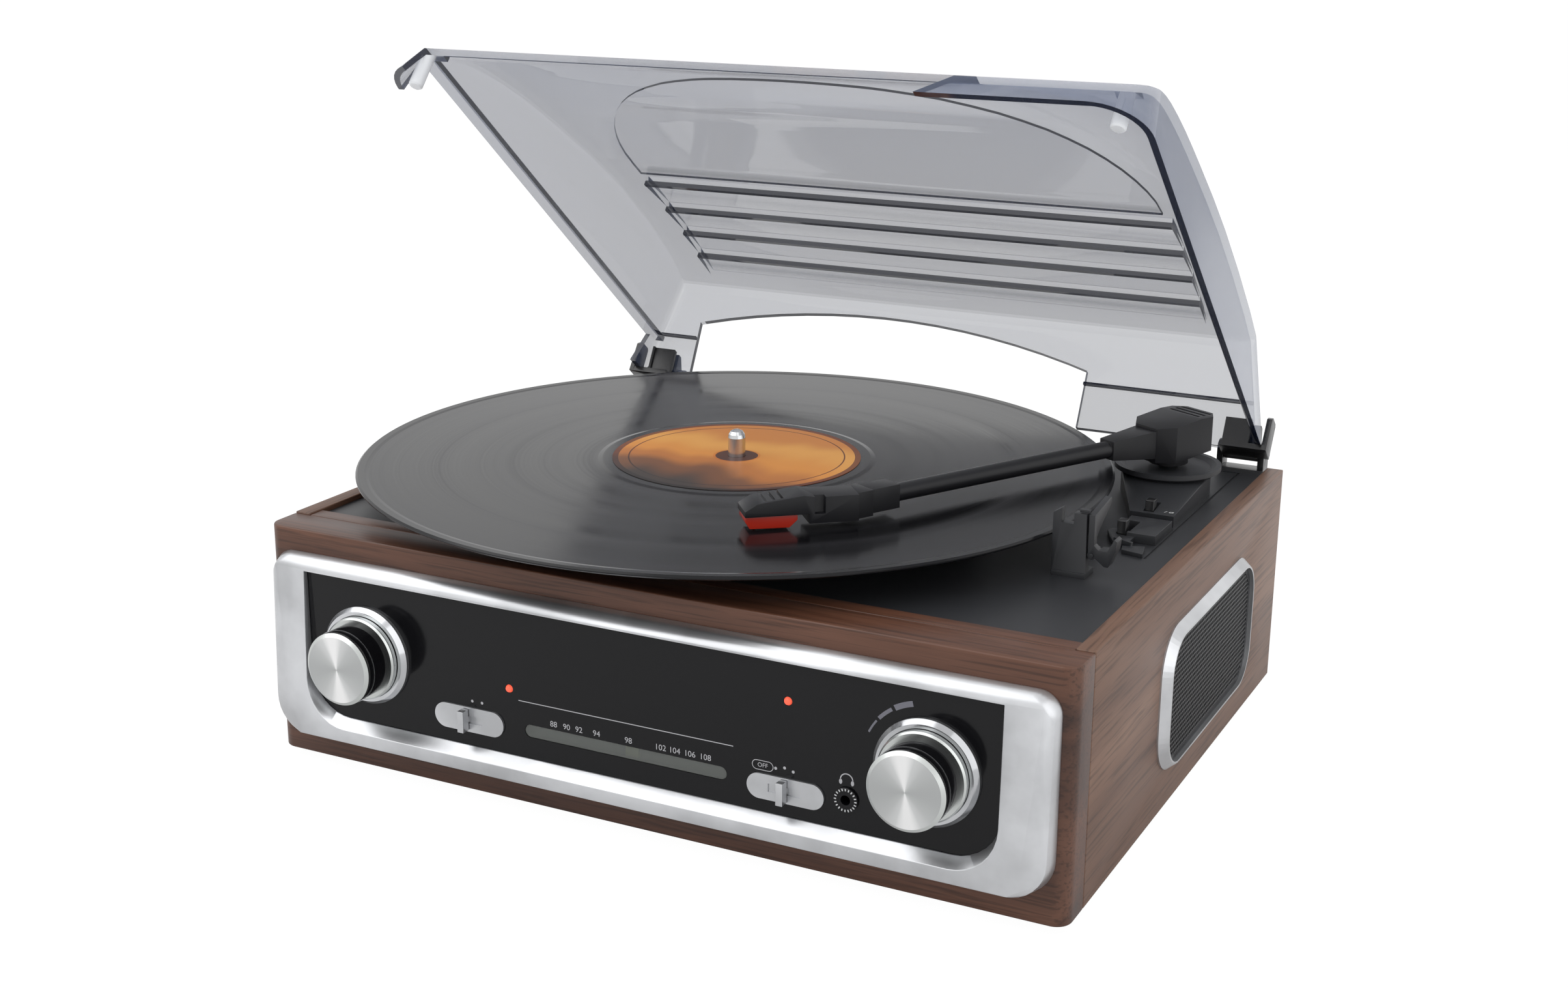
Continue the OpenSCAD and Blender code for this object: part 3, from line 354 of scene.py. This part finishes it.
# %% [markdown]
# The vinyl is black, but its grooves spread light along lines through the middle. Rings of
# tiny bump about the spindle, with the same tangent trick as the knobs, give the two soft
# lobes of light that a record shows. Slower rings of tone and gloss stand for the tracks.

# %% Vinyl
SPIN_X, SPIN_Y = -27.0, -3.0


def vinyl_material():
    """Black grooves about the spindle, with the tracks as rings of tone and gloss."""
    mat = finish_of("vinyl", (0.012, 0.012, 0.014), 0.16, Anisotropic=0.55,
                    Specular_IOR_Level=0.24)
    around = add(mat, "Tangent", direction_type="RADIAL", axis="Z")
    feed(mat, around, shader_of(mat), "Tangent")
    # One value for each radius, so that the pattern runs in rings
    ring = add(mat, "CombineXYZ", {"X": distance(mat, (1, 1, 0), at(SPIN_X, SPIN_Y, 0))})
    fine = add(mat, "TexNoise", {"Vector": ring}, Scale=900.0, Detail=3.0, Roughness=0.7)
    tracks = add(mat, "TexNoise", {"Vector": ring}, Scale=95.0, Detail=1.0)
    both = add(mat, "MixRGB", {1: fine, 2: tracks}, blend_type="MIX", Fac=0.55)
    spread = add(mat, "MapRange", {"Value": both}, From_Min=0.35, From_Max=0.65,
                 To_Min=0.10, To_Max=0.26)
    feed(mat, spread, shader_of(mat), "Roughness")
    tone = ramp(mat, tracks, [(0.40, (0.004, 0.004, 0.005)), (0.62, (0.014, 0.014, 0.016))])
    feed(mat, tone, shader_of(mat), "Base Color")
    bump(mat, fine, 0.10, 0.00004)
    return mat


vinyl = vinyl_material()

# %% [markdown]
# The lid is smoked acrylic: see-through, a little blue-grey, and much darker along its cut
# edges, where one looks through the sheet lengthways. The sheet and the edges are two
# materials. Layer Weight makes the sheet denser where it is seen at a slant.

# %% Smoked acrylic


def smoked(name, colour, clear, dense, rough=0.06):
    """A tinted sheet, whose cover goes from clear, seen straight, to dense at a slant."""
    mat = finish_of(name, colour, rough)
    slant = add(mat, "LayerWeight", Blend=0.35)
    cover = add(mat, "MapRange", {"Value": (slant, "Facing")}, To_Min=clear, To_Max=dense)
    feed(mat, cover, shader_of(mat), "Alpha")
    return mat


smoke = smoked("smoked_sheet", (0.120, 0.155, 0.260), 0.27, 0.60)
smoke_edge = smoked("smoked_edge", (0.008, 0.012, 0.030), 0.92, 0.99)
window_clear = smoked("dial_window", (0.16, 0.17, 0.16), 0.55, 0.75)
lamp_red = finish_of("lamp_red", (0.85, 0.10, 0.05), 0.25, Emission_Strength=0.5)
shader_of(lamp_red).inputs["Emission Color"].default_value = (0.9, 0.12, 0.06, 1)
pointer_green = finish_of("pointer_green", (0.62, 0.68, 0.18), 0.5)
print("materials:", len(bpy.data.materials))

# %% [markdown]
# Every CAD node gets its finish by its name. The slots of its object are cleared first, so
# that nothing of the plain export is left. The knobs' caps come last, because each has its
# own turned face. The label gets its print in a later cell.

# %% Dress the CAD nodes
finishes = {
    front_wood: ["front_board", "front_rail"],
    side_wood: ["side_board_left", "side_board_right"],
    board_black: ["back_panel", "base_panel"],
    rubber_black: ["feet", "drive_belt", "platter_mat"],
    deck_black: ["deck_plate", "switch_console", "arm_plinth", "arm_rest", "arm_clip"],
    arm_black: ["platter", "arm_yoke", "arm_housing", "arm_tube", "headshell"],
    gloss_black: ["control_panel", "tuning_knob", "volume_knob", "headphone_jack"],
    clip_black: ["rear_sockets", "hinge_bases", "hinge_clips", "speed_slide", "stop_slide"],
    silver: ["slide_switches", "bezel", "speaker_ring_left", "speaker_ring_right", "switch_plates",
             "band_slide", "source_slide"],
    chrome: ["tuning_ring", "volume_ring"],
    bright: ["spindle", "dial_rail", "hinge_pins", "platter_bearing"],
    can_metal: ["tuner_gang", "volume_pot", "motor"],
    grille_metal: ["speaker_grille_left", "speaker_grille_right",
                   "speaker_driver_left", "speaker_driver_right"],
    vinyl: ["record_disc"],
    brass: ["motor_pulley"],
    board_green: ["main_board"],
    red_plastic: ["stylus_cartridge"],
    window_clear: ["dial_window"],
    lamp_red: ["indicator_lamps"],
    pointer_green: ["dial_pointer"],
    smoke: ["lid_shell"],
    pale_rubber: ["lid_bumpers"],
}


def dress(obj, mat):
    """Gives an object one material."""
    obj.data.materials.clear()
    obj.data.materials.append(mat)


for mat, names in finishes.items():
    for name in names:
        dress(nodes[name], mat)

KNOB_X, KNOB_Z = 114.0, 48.0
for side, x in (("tuning", -KNOB_X), ("volume", KNOB_X)):
    dress(nodes[side + "_cap"], turned_metal_and_painted_wedges(side + "_face", x, KNOB_Z))
print("dressed", sum(len(names) for names in finishes.values()) + 2, "nodes")

# %% [markdown]
# A moulded or sawn edge is never perfectly sharp, and the thin light line along it is what
# tells the eye how big a thing is. The CAD meshes are loose triangles, so a weld joins them,
# a planar dissolve clears the inner lines of flat faces, and a bevel rounds what is left.

# %% Round the edges


def round_edges(name, width, segments=3, angle=38):
    """Weld, clean and bevel a CAD node by modifiers, which leave its own mesh as it is."""
    obj = nodes[name]
    weld = obj.modifiers.new("weld", "WELD")
    weld.merge_threshold = 0.00001
    flat = obj.modifiers.new("flat", "DECIMATE")
    flat.decimate_type = "DISSOLVE"
    flat.angle_limit = math.radians(0.5)
    edge = obj.modifiers.new("edge", "BEVEL")
    edge.width = width * MM
    edge.segments = segments
    edge.limit_method = "ANGLE"
    edge.angle_limit = math.radians(angle)
    edge.use_clamp_overlap = True
    edge.harden_normals = False


rounded = {"front_board": 0.7, "front_rail": 0.4, "side_board_left": 0.6,
           "side_board_right": 0.6, "bezel": 1.2, "switch_console": 0.5, "arm_rest": 0.4,
           "arm_clip": 0.35, "arm_housing": 0.6, "arm_tube": 0.6, "headshell": 0.4,
           "stylus_cartridge": 0.4, "speed_slide": 0.25, "stop_slide": 0.25,
           "band_slide": 0.35, "source_slide": 0.35, "hinge_bases": 0.4,
           "hinge_clips": 0.4, "lid_bumpers": 0.3}
for name, width in rounded.items():
    round_edges(name, width)
print("rounded", len(rounded), "nodes")

# %% [markdown]
# The label is printed paper. Here it holds a plain design of its own: soft layers like
# hills at dusk, with rings about the hole, in orange, amber, brown and black.

# %% Record label
LABEL_R = 50.0
HILL_LIFT, LAND_LOW, LAND_HIGH = 50.0, -25.0, 70.0


def label_material():
    """Print with layers of hills, and rings about the hole."""
    mat = finish_of("label_print", (0.75, 0.32, 0.05), 0.5)
    # The height across the label, bent by a slow noise, picks the layer
    split = add(mat, "SeparateXYZ", {0: stretched(mat, (1, 1, 0), at(SPIN_X, SPIN_Y, 0))})
    swell = noise(mat, 1.2, (26, 9, 1), Detail=2.0)
    height = maths(mat, "ADD", (split, "Y"), maths(mat, "MULTIPLY", swell, HILL_LIFT * MM))
    layer = add(mat, "MapRange", {"Value": height}, From_Min=LAND_LOW * MM,
                From_Max=LAND_HIGH * MM)
    hills = ramp(mat, layer, [(0.0, (0.028, 0.018, 0.014)), (0.22, (0.16, 0.055, 0.016)),
                              (0.36, (0.48, 0.16, 0.025)), (0.47, (0.70, 0.27, 0.04)),
                              (0.66, (0.78, 0.36, 0.07)), (0.85, (0.62, 0.22, 0.035))])
    hills.color_ramp.interpolation = "EASE"
    reach = distance(mat, (1, 1, 0), at(SPIN_X, SPIN_Y, 0))
    rings = add(mat, "MapRange", {"Value": reach}, From_Max=LABEL_R * MM)
    band = ramp(mat, rings, [(0.0, (0.10, 0.05, 0.03)), (0.17, (0.95, 0.75, 0.45)),
                             (0.19, (1, 1, 1)), (0.86, (0.20, 0.10, 0.06)),
                             (0.875, (1, 1, 1)), (0.95, (0.25, 0.15, 0.10))])
    band.color_ramp.interpolation = "CONSTANT"
    mix = add(mat, "MixRGB", {1: hills, 2: band}, blend_type="MULTIPLY", Fac=1.0)
    feed(mat, mix, shader_of(mat), "Base Color")
    return mat


dress(nodes["record_label"], label_material())
print("label printed")

# %% [markdown]
# The next cells make finer pieces than the plain model holds. Most of them follow the same
# steps: nothing is selected, a primitive is added where the piece goes, and it is shaped in
# edit mode. In the end the place of each piece is moved into its mesh, and the piece is tied
# to a body by name.

# %% Modelling helpers


def select_only(obj=None):
    """Leaves edit mode and selects one object, or none."""
    if bpy.context.object and bpy.context.object.mode != "OBJECT":
        bpy.ops.object.mode_set(mode="OBJECT")
    bpy.ops.object.select_all(action="DESELECT")
    if obj:
        obj.select_set(True)
        bpy.context.view_layer.objects.active = obj


def edit(obj, mode="FACE", pick=None):
    """Enters edit mode with all selected, or only the elements that pick accepts."""
    select_only(obj)
    bpy.ops.object.mode_set(mode="EDIT")
    bpy.ops.mesh.select_mode(type=mode)
    bpy.ops.mesh.select_all(action="SELECT" if pick is None else "DESELECT")
    if pick is not None:
        bpy.ops.object.mode_set(mode="OBJECT")
        parts = {"VERT": obj.data.vertices, "EDGE": obj.data.edges,
                 "FACE": obj.data.polygons}[mode]
        for part in parts:
            part.select = bool(pick(part))
        bpy.ops.object.mode_set(mode="EDIT")


def apply_all(obj):
    """Applies the modifiers of an object in their order."""
    select_only(obj)
    for modifier in list(obj.modifiers):
        bpy.ops.object.modifier_apply(modifier=modifier.name)


def join_all(parts):
    """Joins pieces into the first of them."""
    select_only(parts[0])
    for part in parts[1:]:
        part.select_set(True)
    bpy.ops.object.join()
    return bpy.context.object


def settle(obj, name, body, mat, replaced=()):
    """Names a piece, puts its place in its mesh, dresses it and ties it to its body."""
    select_only(obj)
    bpy.ops.object.transform_apply(location=True, rotation=True, scale=True)
    obj.name = name
    obj.data.name = name
    if mat is not None:
        dress(obj, mat)
    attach(obj, body)
    if replaced:
        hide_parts(*replaced)
    made.append(obj)
    print(name, "faces", len(obj.data.polygons))


made = []

# %% [markdown]
# The lid is one injection-moulded sheet. Its broad faces are see-through, but light that
# enters its cut edges travels along the sheet and comes out dark, which draws a thin navy
# line round every opening. So a merged copy of the lid's mesh gets a second material on
# the faces that are narrow and meet both their long neighbours at a steep angle.

# %% Smoked lid
EDGE_WIDTH = 2.9 * MM
STEEP = math.radians(48)


def merged_copy(name):
    """A copy of a CAD node with its loose triangles joined and flat faces cleared."""
    piece = bpy.data.objects.new(name + "_copy", nodes[name].data.copy())
    scene.collection.objects.link(piece)
    edit(piece)
    bpy.ops.mesh.remove_doubles(threshold=0.00001)
    bpy.ops.mesh.dissolve_limited(angle_limit=math.radians(0.4))
    bpy.ops.object.mode_set(mode="OBJECT")
    return piece


def is_edge_face(face):
    """True for a narrow strip between two broad faces that it meets steeply."""
    around = sum(edge.calc_length() for edge in face.edges)
    if 2 * face.calc_area() / around > EDGE_WIDTH:
        return False
    longest = sorted(face.edges, key=lambda edge: -edge.calc_length())[:2]
    return all(len(edge.link_faces) == 2 and edge.calc_face_angle() > STEEP
               for edge in longest)


sheet = merged_copy("lid_shell")
dress(sheet, smoke)
sheet.data.materials.append(smoke_edge)
work = bmesh.new()
work.from_mesh(sheet.data)
for face in work.faces:
    face.material_index = int(is_edge_face(face))
edge_faces = sum(face.material_index for face in work.faces)
work.to_mesh(sheet.data)
work.free()
print("lid faces", len(sheet.data.polygons), "of them edges", edge_faces)
settle(sheet, "smoked_lid", "lid", None, ["lid_shell"])

# %% [markdown]
# The speaker grilles are thin sheet with small square holes in straight rows. A grid is cut
# down to the oval, each of its cells is inset, the middles are deleted and the sheet gets
# its thickness. A plain band round the edge carries it under the silver ring.

# %% Fine speaker grilles
GRILLE_PITCH = 1.9
GRILLE_BAR = 0.30
GRILLE_T = 0.7
OVAL_R = 14.0
BAND = 2.2
# The net stops under the band, at this share of the band's width
UNDER_BAND = 0.75


def oval_gap(y, z, half_y, half_z):
    """Distance from a point inside the oval to its edge, negative outside it."""
    over_y = max(abs(y) - (half_y - OVAL_R), 0)
    over_z = max(abs(z) - (half_z - OVAL_R), 0)
    return OVAL_R - math.hypot(over_y, over_z)


def oval_net(mid, turn, wide, tall):
    """A flat net, cut down to the oval, of bars round square holes."""
    count_y, count_z = int(wide / GRILLE_PITCH), int(tall / GRILLE_PITCH)
    select_only()
    bpy.ops.mesh.primitive_grid_add(x_subdivisions=count_y, y_subdivisions=count_z, size=1,
                                    location=mid, rotation=turn)
    net = bpy.context.object
    net.scale = (count_y * GRILLE_PITCH * MM, count_z * GRILLE_PITCH * MM, 1)
    bpy.ops.object.transform_apply(location=False, rotation=False, scale=True)
    edit(net, "FACE", lambda face: oval_gap(face.center.x / MM, face.center.y / MM,
                                            wide / 2, tall / 2) < BAND * UNDER_BAND)
    bpy.ops.mesh.delete(type="FACE")
    bpy.ops.mesh.select_all(action="SELECT")
    bpy.ops.mesh.inset(thickness=GRILLE_BAR * MM, use_individual=True, use_even_offset=True)
    bpy.ops.mesh.delete(type="FACE")
    return net


def oval_band(mid, turn, wide, tall):
    """The flat plain band round the net."""
    select_only()
    bpy.ops.mesh.primitive_plane_add(size=1, location=mid, rotation=turn)
    band = bpy.context.object
    band.scale = (wide * MM, tall * MM, 1)
    bpy.ops.object.transform_apply(location=False, rotation=False, scale=True)
    edit(band, "VERT")
    bpy.ops.mesh.bevel(offset=OVAL_R * MM, affect="VERTICES", segments=12)
    bpy.ops.mesh.select_mode(type="FACE")
    bpy.ops.mesh.select_all(action="SELECT")
    bpy.ops.mesh.inset(thickness=BAND * MM)
    bpy.ops.mesh.delete(type="FACE")
    return band


def speaker_grille(name, sign):
    """A fine grille in place of a plain one, on the side that sign gives."""
    low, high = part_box(name)
    wide, tall = (high.y - low.y) / MM, (high.z - low.z) / MM
    outer = high.x if sign > 0 else low.x
    mid = Vector((outer, (low.y + high.y) / 2, (low.z + high.z) / 2))
    turn = (math.radians(90), 0, math.radians(90) * sign)
    piece = join_all([oval_net(mid, turn, wide, tall), oval_band(mid, turn, wide, tall)])
    thick = piece.modifiers.new("thick", "SOLIDIFY")
    thick.thickness = GRILLE_T * MM
    thick.offset = -1
    apply_all(piece)
    settle(piece, name + "_net", "cabinet", grille_metal, [name])


speaker_grille("speaker_grille_right", 1)
speaker_grille("speaker_grille_left", -1)

# %% [markdown]
# The panel's signs are printed in grey. Each one is a flat film that lies a twentieth of a
# millimetre in front of the panel: numbers from text made a mesh, dots and bars from circles
# and planes, and arcs by spinning a short edge about their middle.

# %% Printing helpers
PANEL_Y = -133.5
INK_LIFT = 0.05
ARC_STEPS = 16
ink = plastic("print_grey", (0.42, 0.42, 0.44), 0.5, 900.0, 0.00001, 0.05)
ink_dark = plastic("print_dark", (0.16, 0.16, 0.19), 0.5, 900.0, 0.00001, 0.05)
FACING = (math.radians(90), 0, 0)


def printed_text(words, x, z, size):
    """Words centred at x and z on the panel, as a mesh."""
    select_only()
    bpy.ops.object.text_add(location=at(x, PANEL_Y - INK_LIFT, z), rotation=FACING)
    text = bpy.context.object
    text.data.body = words
    text.data.size = size * MM
    text.data.align_x = "CENTER"
    text.data.align_y = "CENTER"
    text.data.resolution_u = 4
    bpy.ops.object.convert(target="MESH")
    return bpy.context.object


def printed_dot(x, z, radius, wide=1.0):
    """A filled circle, or an oval if wide is another share of the height than 1."""
    select_only()
    bpy.ops.mesh.primitive_circle_add(vertices=24, radius=radius * MM, fill_type="NGON",
                                      location=at(x, PANEL_Y - INK_LIFT, z), rotation=FACING)
    dot = bpy.context.object
    dot.scale.x = wide
    return dot


def printed_bar(x0, x1, z, thick, lift=INK_LIFT):
    """A straight line from x0 to x1, at a lift in front of the panel."""
    select_only()
    bpy.ops.mesh.primitive_plane_add(size=1, location=at((x0 + x1) / 2, PANEL_Y - lift, z),
                                     rotation=FACING)
    bar = bpy.context.object
    bar.scale = ((x1 - x0) * MM, thick * MM, 1)
    return bar


def printed_arc(x, z, radius, thick, start, end):
    """Part of a ring about a point, angles in degrees from +X towards +Z."""
    select_only()
    centre = at(x, PANEL_Y - INK_LIFT, z)
    bpy.ops.mesh.primitive_plane_add(size=1, location=centre)
    arc = bpy.context.object
    edit(arc, "VERT", lambda vert: vert.index > 1)
    bpy.ops.mesh.delete(type="VERT")
    bpy.ops.object.mode_set(mode="OBJECT")
    for vert, reach in zip(arc.data.vertices, (radius - thick / 2, radius + thick / 2)):
        angle = math.radians(start)
        vert.co = Vector((math.cos(angle), 0, math.sin(angle))) * reach * MM
    edit(arc, "EDGE")
    bpy.ops.mesh.spin(steps=ARC_STEPS, angle=math.radians(end - start), center=centre,
                      axis=(0, 1, 0))
    bpy.ops.object.mode_set(mode="OBJECT")
    return arc


# %% [markdown]
# The dial has nine numbers under a thin rule. Small dots stand over the two slide switches,
# and the right one also has OFF in a pill-shaped outline of two bars and two arcs. The sign
# above the headphone socket is an arc with an oval at each end.

# %% Signs on the panel
DIAL = {"88": -31.6, "90": -26.1, "92": -20.9, "94": -13.5, "98": -0.3, "102": 12.8,
        "104": 18.5, "106": 24.6, "108": 30.8}
DIAL_Z, DIAL_SIZE = 35.9, 3.1
signs = [printed_text(number, x, DIAL_Z, DIAL_SIZE) for number, x in DIAL.items()]

RULE_FROM, RULE_TO, RULE_Z, RULE_T = -46.5, 41.8, 42.4, 0.32
signs.append(printed_bar(RULE_FROM, RULE_TO, RULE_Z, RULE_T))

DOTS = [(-66.9, 38.2), (-62.6, 38.2), (58.2, 37.6), (61.6, 38.4), (64.9, 37.6)]
DOT_R = 0.55
signs += [printed_dot(x, z, DOT_R) for x, z in DOTS]

OFF_X, OFF_Z, OFF_SIZE = 53.2, 37.6, 2.3
PILL_LEFT, PILL_RIGHT, PILL_R, PILL_T = 50.9, 55.5, 1.7, 0.25
signs.append(printed_text("OFF", OFF_X, OFF_Z, OFF_SIZE))
signs.append(printed_arc(PILL_LEFT, OFF_Z, PILL_R, PILL_T, 90, 270))
signs.append(printed_arc(PILL_RIGHT, OFF_Z, PILL_R, PILL_T, -90, 90))
for z in (OFF_Z + PILL_R, OFF_Z - PILL_R):
    signs.append(printed_bar(PILL_LEFT, PILL_RIGHT, z, PILL_T))

BAND_X, BAND_Z, BAND_R, BAND_T = 84.9, 38.8, 2.3, 0.4
EAR_REACH, EAR_Z, EAR_R, EAR_WIDE = 2.2, 38.0, 0.95, 0.62
signs.append(printed_arc(BAND_X, BAND_Z, BAND_R, BAND_T, 0, 180))
for x in (BAND_X - EAR_REACH, BAND_X + EAR_REACH):
    signs.append(printed_dot(x, EAR_Z, EAR_R, EAR_WIDE))
settle(join_all(signs), "panel_print", "cabinet", ink)

# %% [markdown]
# Three arcs at the upper left of the volume knob grow thicker clockwise, the way up.

# %% Volume marks
MARKS_R = 23.5
MARKS = [(142, 155, 0.7), (124, 139, 1.3), (104, 121, 2.0)]
arcs = [printed_arc(KNOB_X, KNOB_Z, MARKS_R, thick, start, end) for start, end, thick in MARKS]
settle(join_all(arcs), "volume_marks", "cabinet", ink_dark)

# %% [markdown]
# A thin bright line runs round each knob's black body. It is an open circle, extruded and
# given a wall.

# %% Lines on the knobs
KNOB_R = 14.0
LINE_BACK, LINE_W, LINE_T = 4.2, 0.3, 0.12
KNOB_FACE = -152.0


def knob_line(name, x, body):
    """A thin bright hoop round a knob, which turns with its body."""
    select_only()
    start = at(x, KNOB_FACE + LINE_BACK, KNOB_Z)
    bpy.ops.mesh.primitive_circle_add(vertices=96, radius=(KNOB_R + LINE_T) * MM,
                                      location=start, rotation=FACING)
    line = bpy.context.object
    edit(line, "EDGE")
    bpy.ops.mesh.extrude_region_move(TRANSFORM_OT_translate={"value": (0, LINE_W * MM, 0)})
    bpy.ops.object.mode_set(mode="OBJECT")
    wall = line.modifiers.new("wall", "SOLIDIFY")
    wall.thickness = LINE_T * MM
    wall.offset = 0
    apply_all(line)
    settle(line, name, body, chrome)


knob_line("tuning_line", -KNOB_X, "tuning")
knob_line("volume_line", KNOB_X, "volume")

# %% [markdown]
# The strokes round the headphone socket are short bars on its face, which stands proud of
# the panel. Each one is turned about its own middle by its angle round the socket, so that
# all point outwards.

# %% Strokes round the socket
JACK_X, JACK_Z, JACK_FACE = 85.0, 31.9, -134.6
STROKES, STROKES_R, STROKE_T = 20, 3.8, 0.42
strokes = []
for turn in range(STROKES):
    angle = math.tau * turn / STROKES
    x, z = JACK_X + STROKES_R * math.cos(angle), JACK_Z + STROKES_R * math.sin(angle)
    stroke = printed_bar(x - STROKE_T, x + STROKE_T, z, STROKE_T,
                         PANEL_Y - JACK_FACE + INK_LIFT)
    bpy.ops.transform.rotate(value=angle, orient_axis="Y", center_override=stroke.location)
    strokes.append(stroke)
settle(join_all(strokes), "jack_rim", "cabinet", bright)

# %% [markdown]
# Behind the slot of each switch plate lies a strip of the same silver, so that the slot
# reads as a shallow groove and not as a hole. Both strips are one piece, a little below the
# plates' face.

# %% Strips in the switch slots
SLOTS = [(-72.5, -62.5, 30.9), (55.6, 67.8, 30.2)]
SLOT_H, STRIP_LIFT = 3.0, 0.35
strips = [printed_bar(x0, x1, z, SLOT_H, STRIP_LIFT) for x0, x1, z in SLOTS]
settle(join_all(strips), "slot_strips", "cabinet", silver)

# %% [markdown]
# The deck carries one more sign, beside the speed switch. It is printed on whatever surface
# lies there, so a ray is cast down on the deck's pieces to find its height.

# %% Speed mark
MARK_X, MARK_Y, MARK_SIZE = 140.5, 38.0, 4.2
SKY = 150.0


def height_at(x, y, *names):
    """The highest surface of some nodes at a place, in cabinet millimetres."""
    start = at(x, y, SKY)
    hits = [nodes[name].ray_cast(start, Vector((0, 0, -1))) for name in names]
    return max((spot.z - zero.z) / MM for hit, spot, _, _ in hits if hit)


top = height_at(MARK_X, MARK_Y, "arm_plinth", "deck_plate", "switch_console")
select_only()
bpy.ops.object.text_add(location=at(MARK_X, MARK_Y, top + INK_LIFT))
mark = bpy.context.object
mark.data.body = "78"
mark.data.size = MARK_SIZE * MM
mark.data.align_x = mark.data.align_y = "CENTER"
bpy.ops.object.convert(target="MESH")
ink_white = plastic("print_white", (0.6, 0.6, 0.6), 0.5)
settle(bpy.context.object, "speed_mark", "cabinet", ink_white)
print("speed mark at height", round(top, 2))

# %% [markdown]
# The room is a plain studio: a soft key from the upper left, a softer fill from the right
# and a pale surround. The camera and the reflections see the surround as white, and the
# rest of the light that it gives is dimmer. The rear lamp brightens the lid.

# %% Light


def soft_light(name, place, aim, size, watts):
    """A rectangular area light at a place, turned to an aim point."""
    lamp = bpy.data.lights.new(name, "AREA")
    lamp.shape = "RECTANGLE"
    lamp.size, lamp.size_y = size
    lamp.energy = watts
    obj = bpy.data.objects.new(name, lamp)
    scene.collection.objects.link(obj)
    obj.location = place
    obj.rotation_euler = (aim - place).to_track_quat("-Z", "Y").to_euler()
    return obj


AMBIENT = 0.62
world = bpy.data.worlds.new("studio")
scene.world = world
world.use_nodes = True
sky = world.node_tree.nodes["Background"]
sky.inputs["Color"].default_value = (1, 1, 1, 1)
path = add(world, "LightPath")
seen = maths(world, "ADD", (path, "Is Camera Ray"), (path, "Is Transmission Ray"))
seen = maths(world, "ADD", seen, (path, "Is Glossy Ray"))
seen.use_clamp = True
feed(world, add(world, "MapRange", {"Value": seen}, To_Min=AMBIENT), sky, "Strength")

middle = at(0, 0, 60)
soft_light("key", at(-900, -900, 1500), middle, (2.4, 1.8), 20)
soft_light("fill", at(1500, -500, 900), middle, (2.0, 2.0), 9)
rear = soft_light("rear", at(200, 1500, 1300), middle, (2.4, 1.4), 10)
# Reflections don't show this lamp, because the bezel would clip to white
rear.visible_glossy = False
print("lamps:", len(bpy.data.lights))

# %% [markdown]
# The floor is one large sheet. The camera sees it almost white, through a share of its own
# glow, while the light that it sends up to the object comes from its paint alone.

# %% Floor
FLOOR_SIZE, FLOOR_GLOW = 30, 0.93
bpy.ops.mesh.primitive_plane_add(size=FLOOR_SIZE)
floor = bpy.context.object
floor.name = "floor"
floor_paint = finish_of("floor_paint", (0.86, 0.86, 0.86), 0.9)
glow = add(floor_paint, "Emission", Strength=1.05)
eye = add(floor_paint, "LightPath")
share = maths(floor_paint, "MULTIPLY", (eye, "Is Camera Ray"), FLOOR_GLOW)
join = add(floor_paint, "MixShader", {0: share, 1: shader_of(floor_paint), 2: glow})
feed(floor_paint, join, floor_paint.node_tree.nodes["Material Output"], "Surface")
dress(floor, floor_paint)

scene.view_settings.view_transform = "Standard"
print("floor", FLOOR_SIZE, "m wide")

# %% [markdown]
# Last, every shown mesh gets smooth shading with its sharp edges kept.

# %% Finish
SHARP = math.radians(32)
for obj in list(nodes.values()) + made:
    select_only(obj)
    bpy.ops.object.shade_smooth_by_angle(angle=SHARP)
print("smoothed", len(nodes) + len(made), "objects")
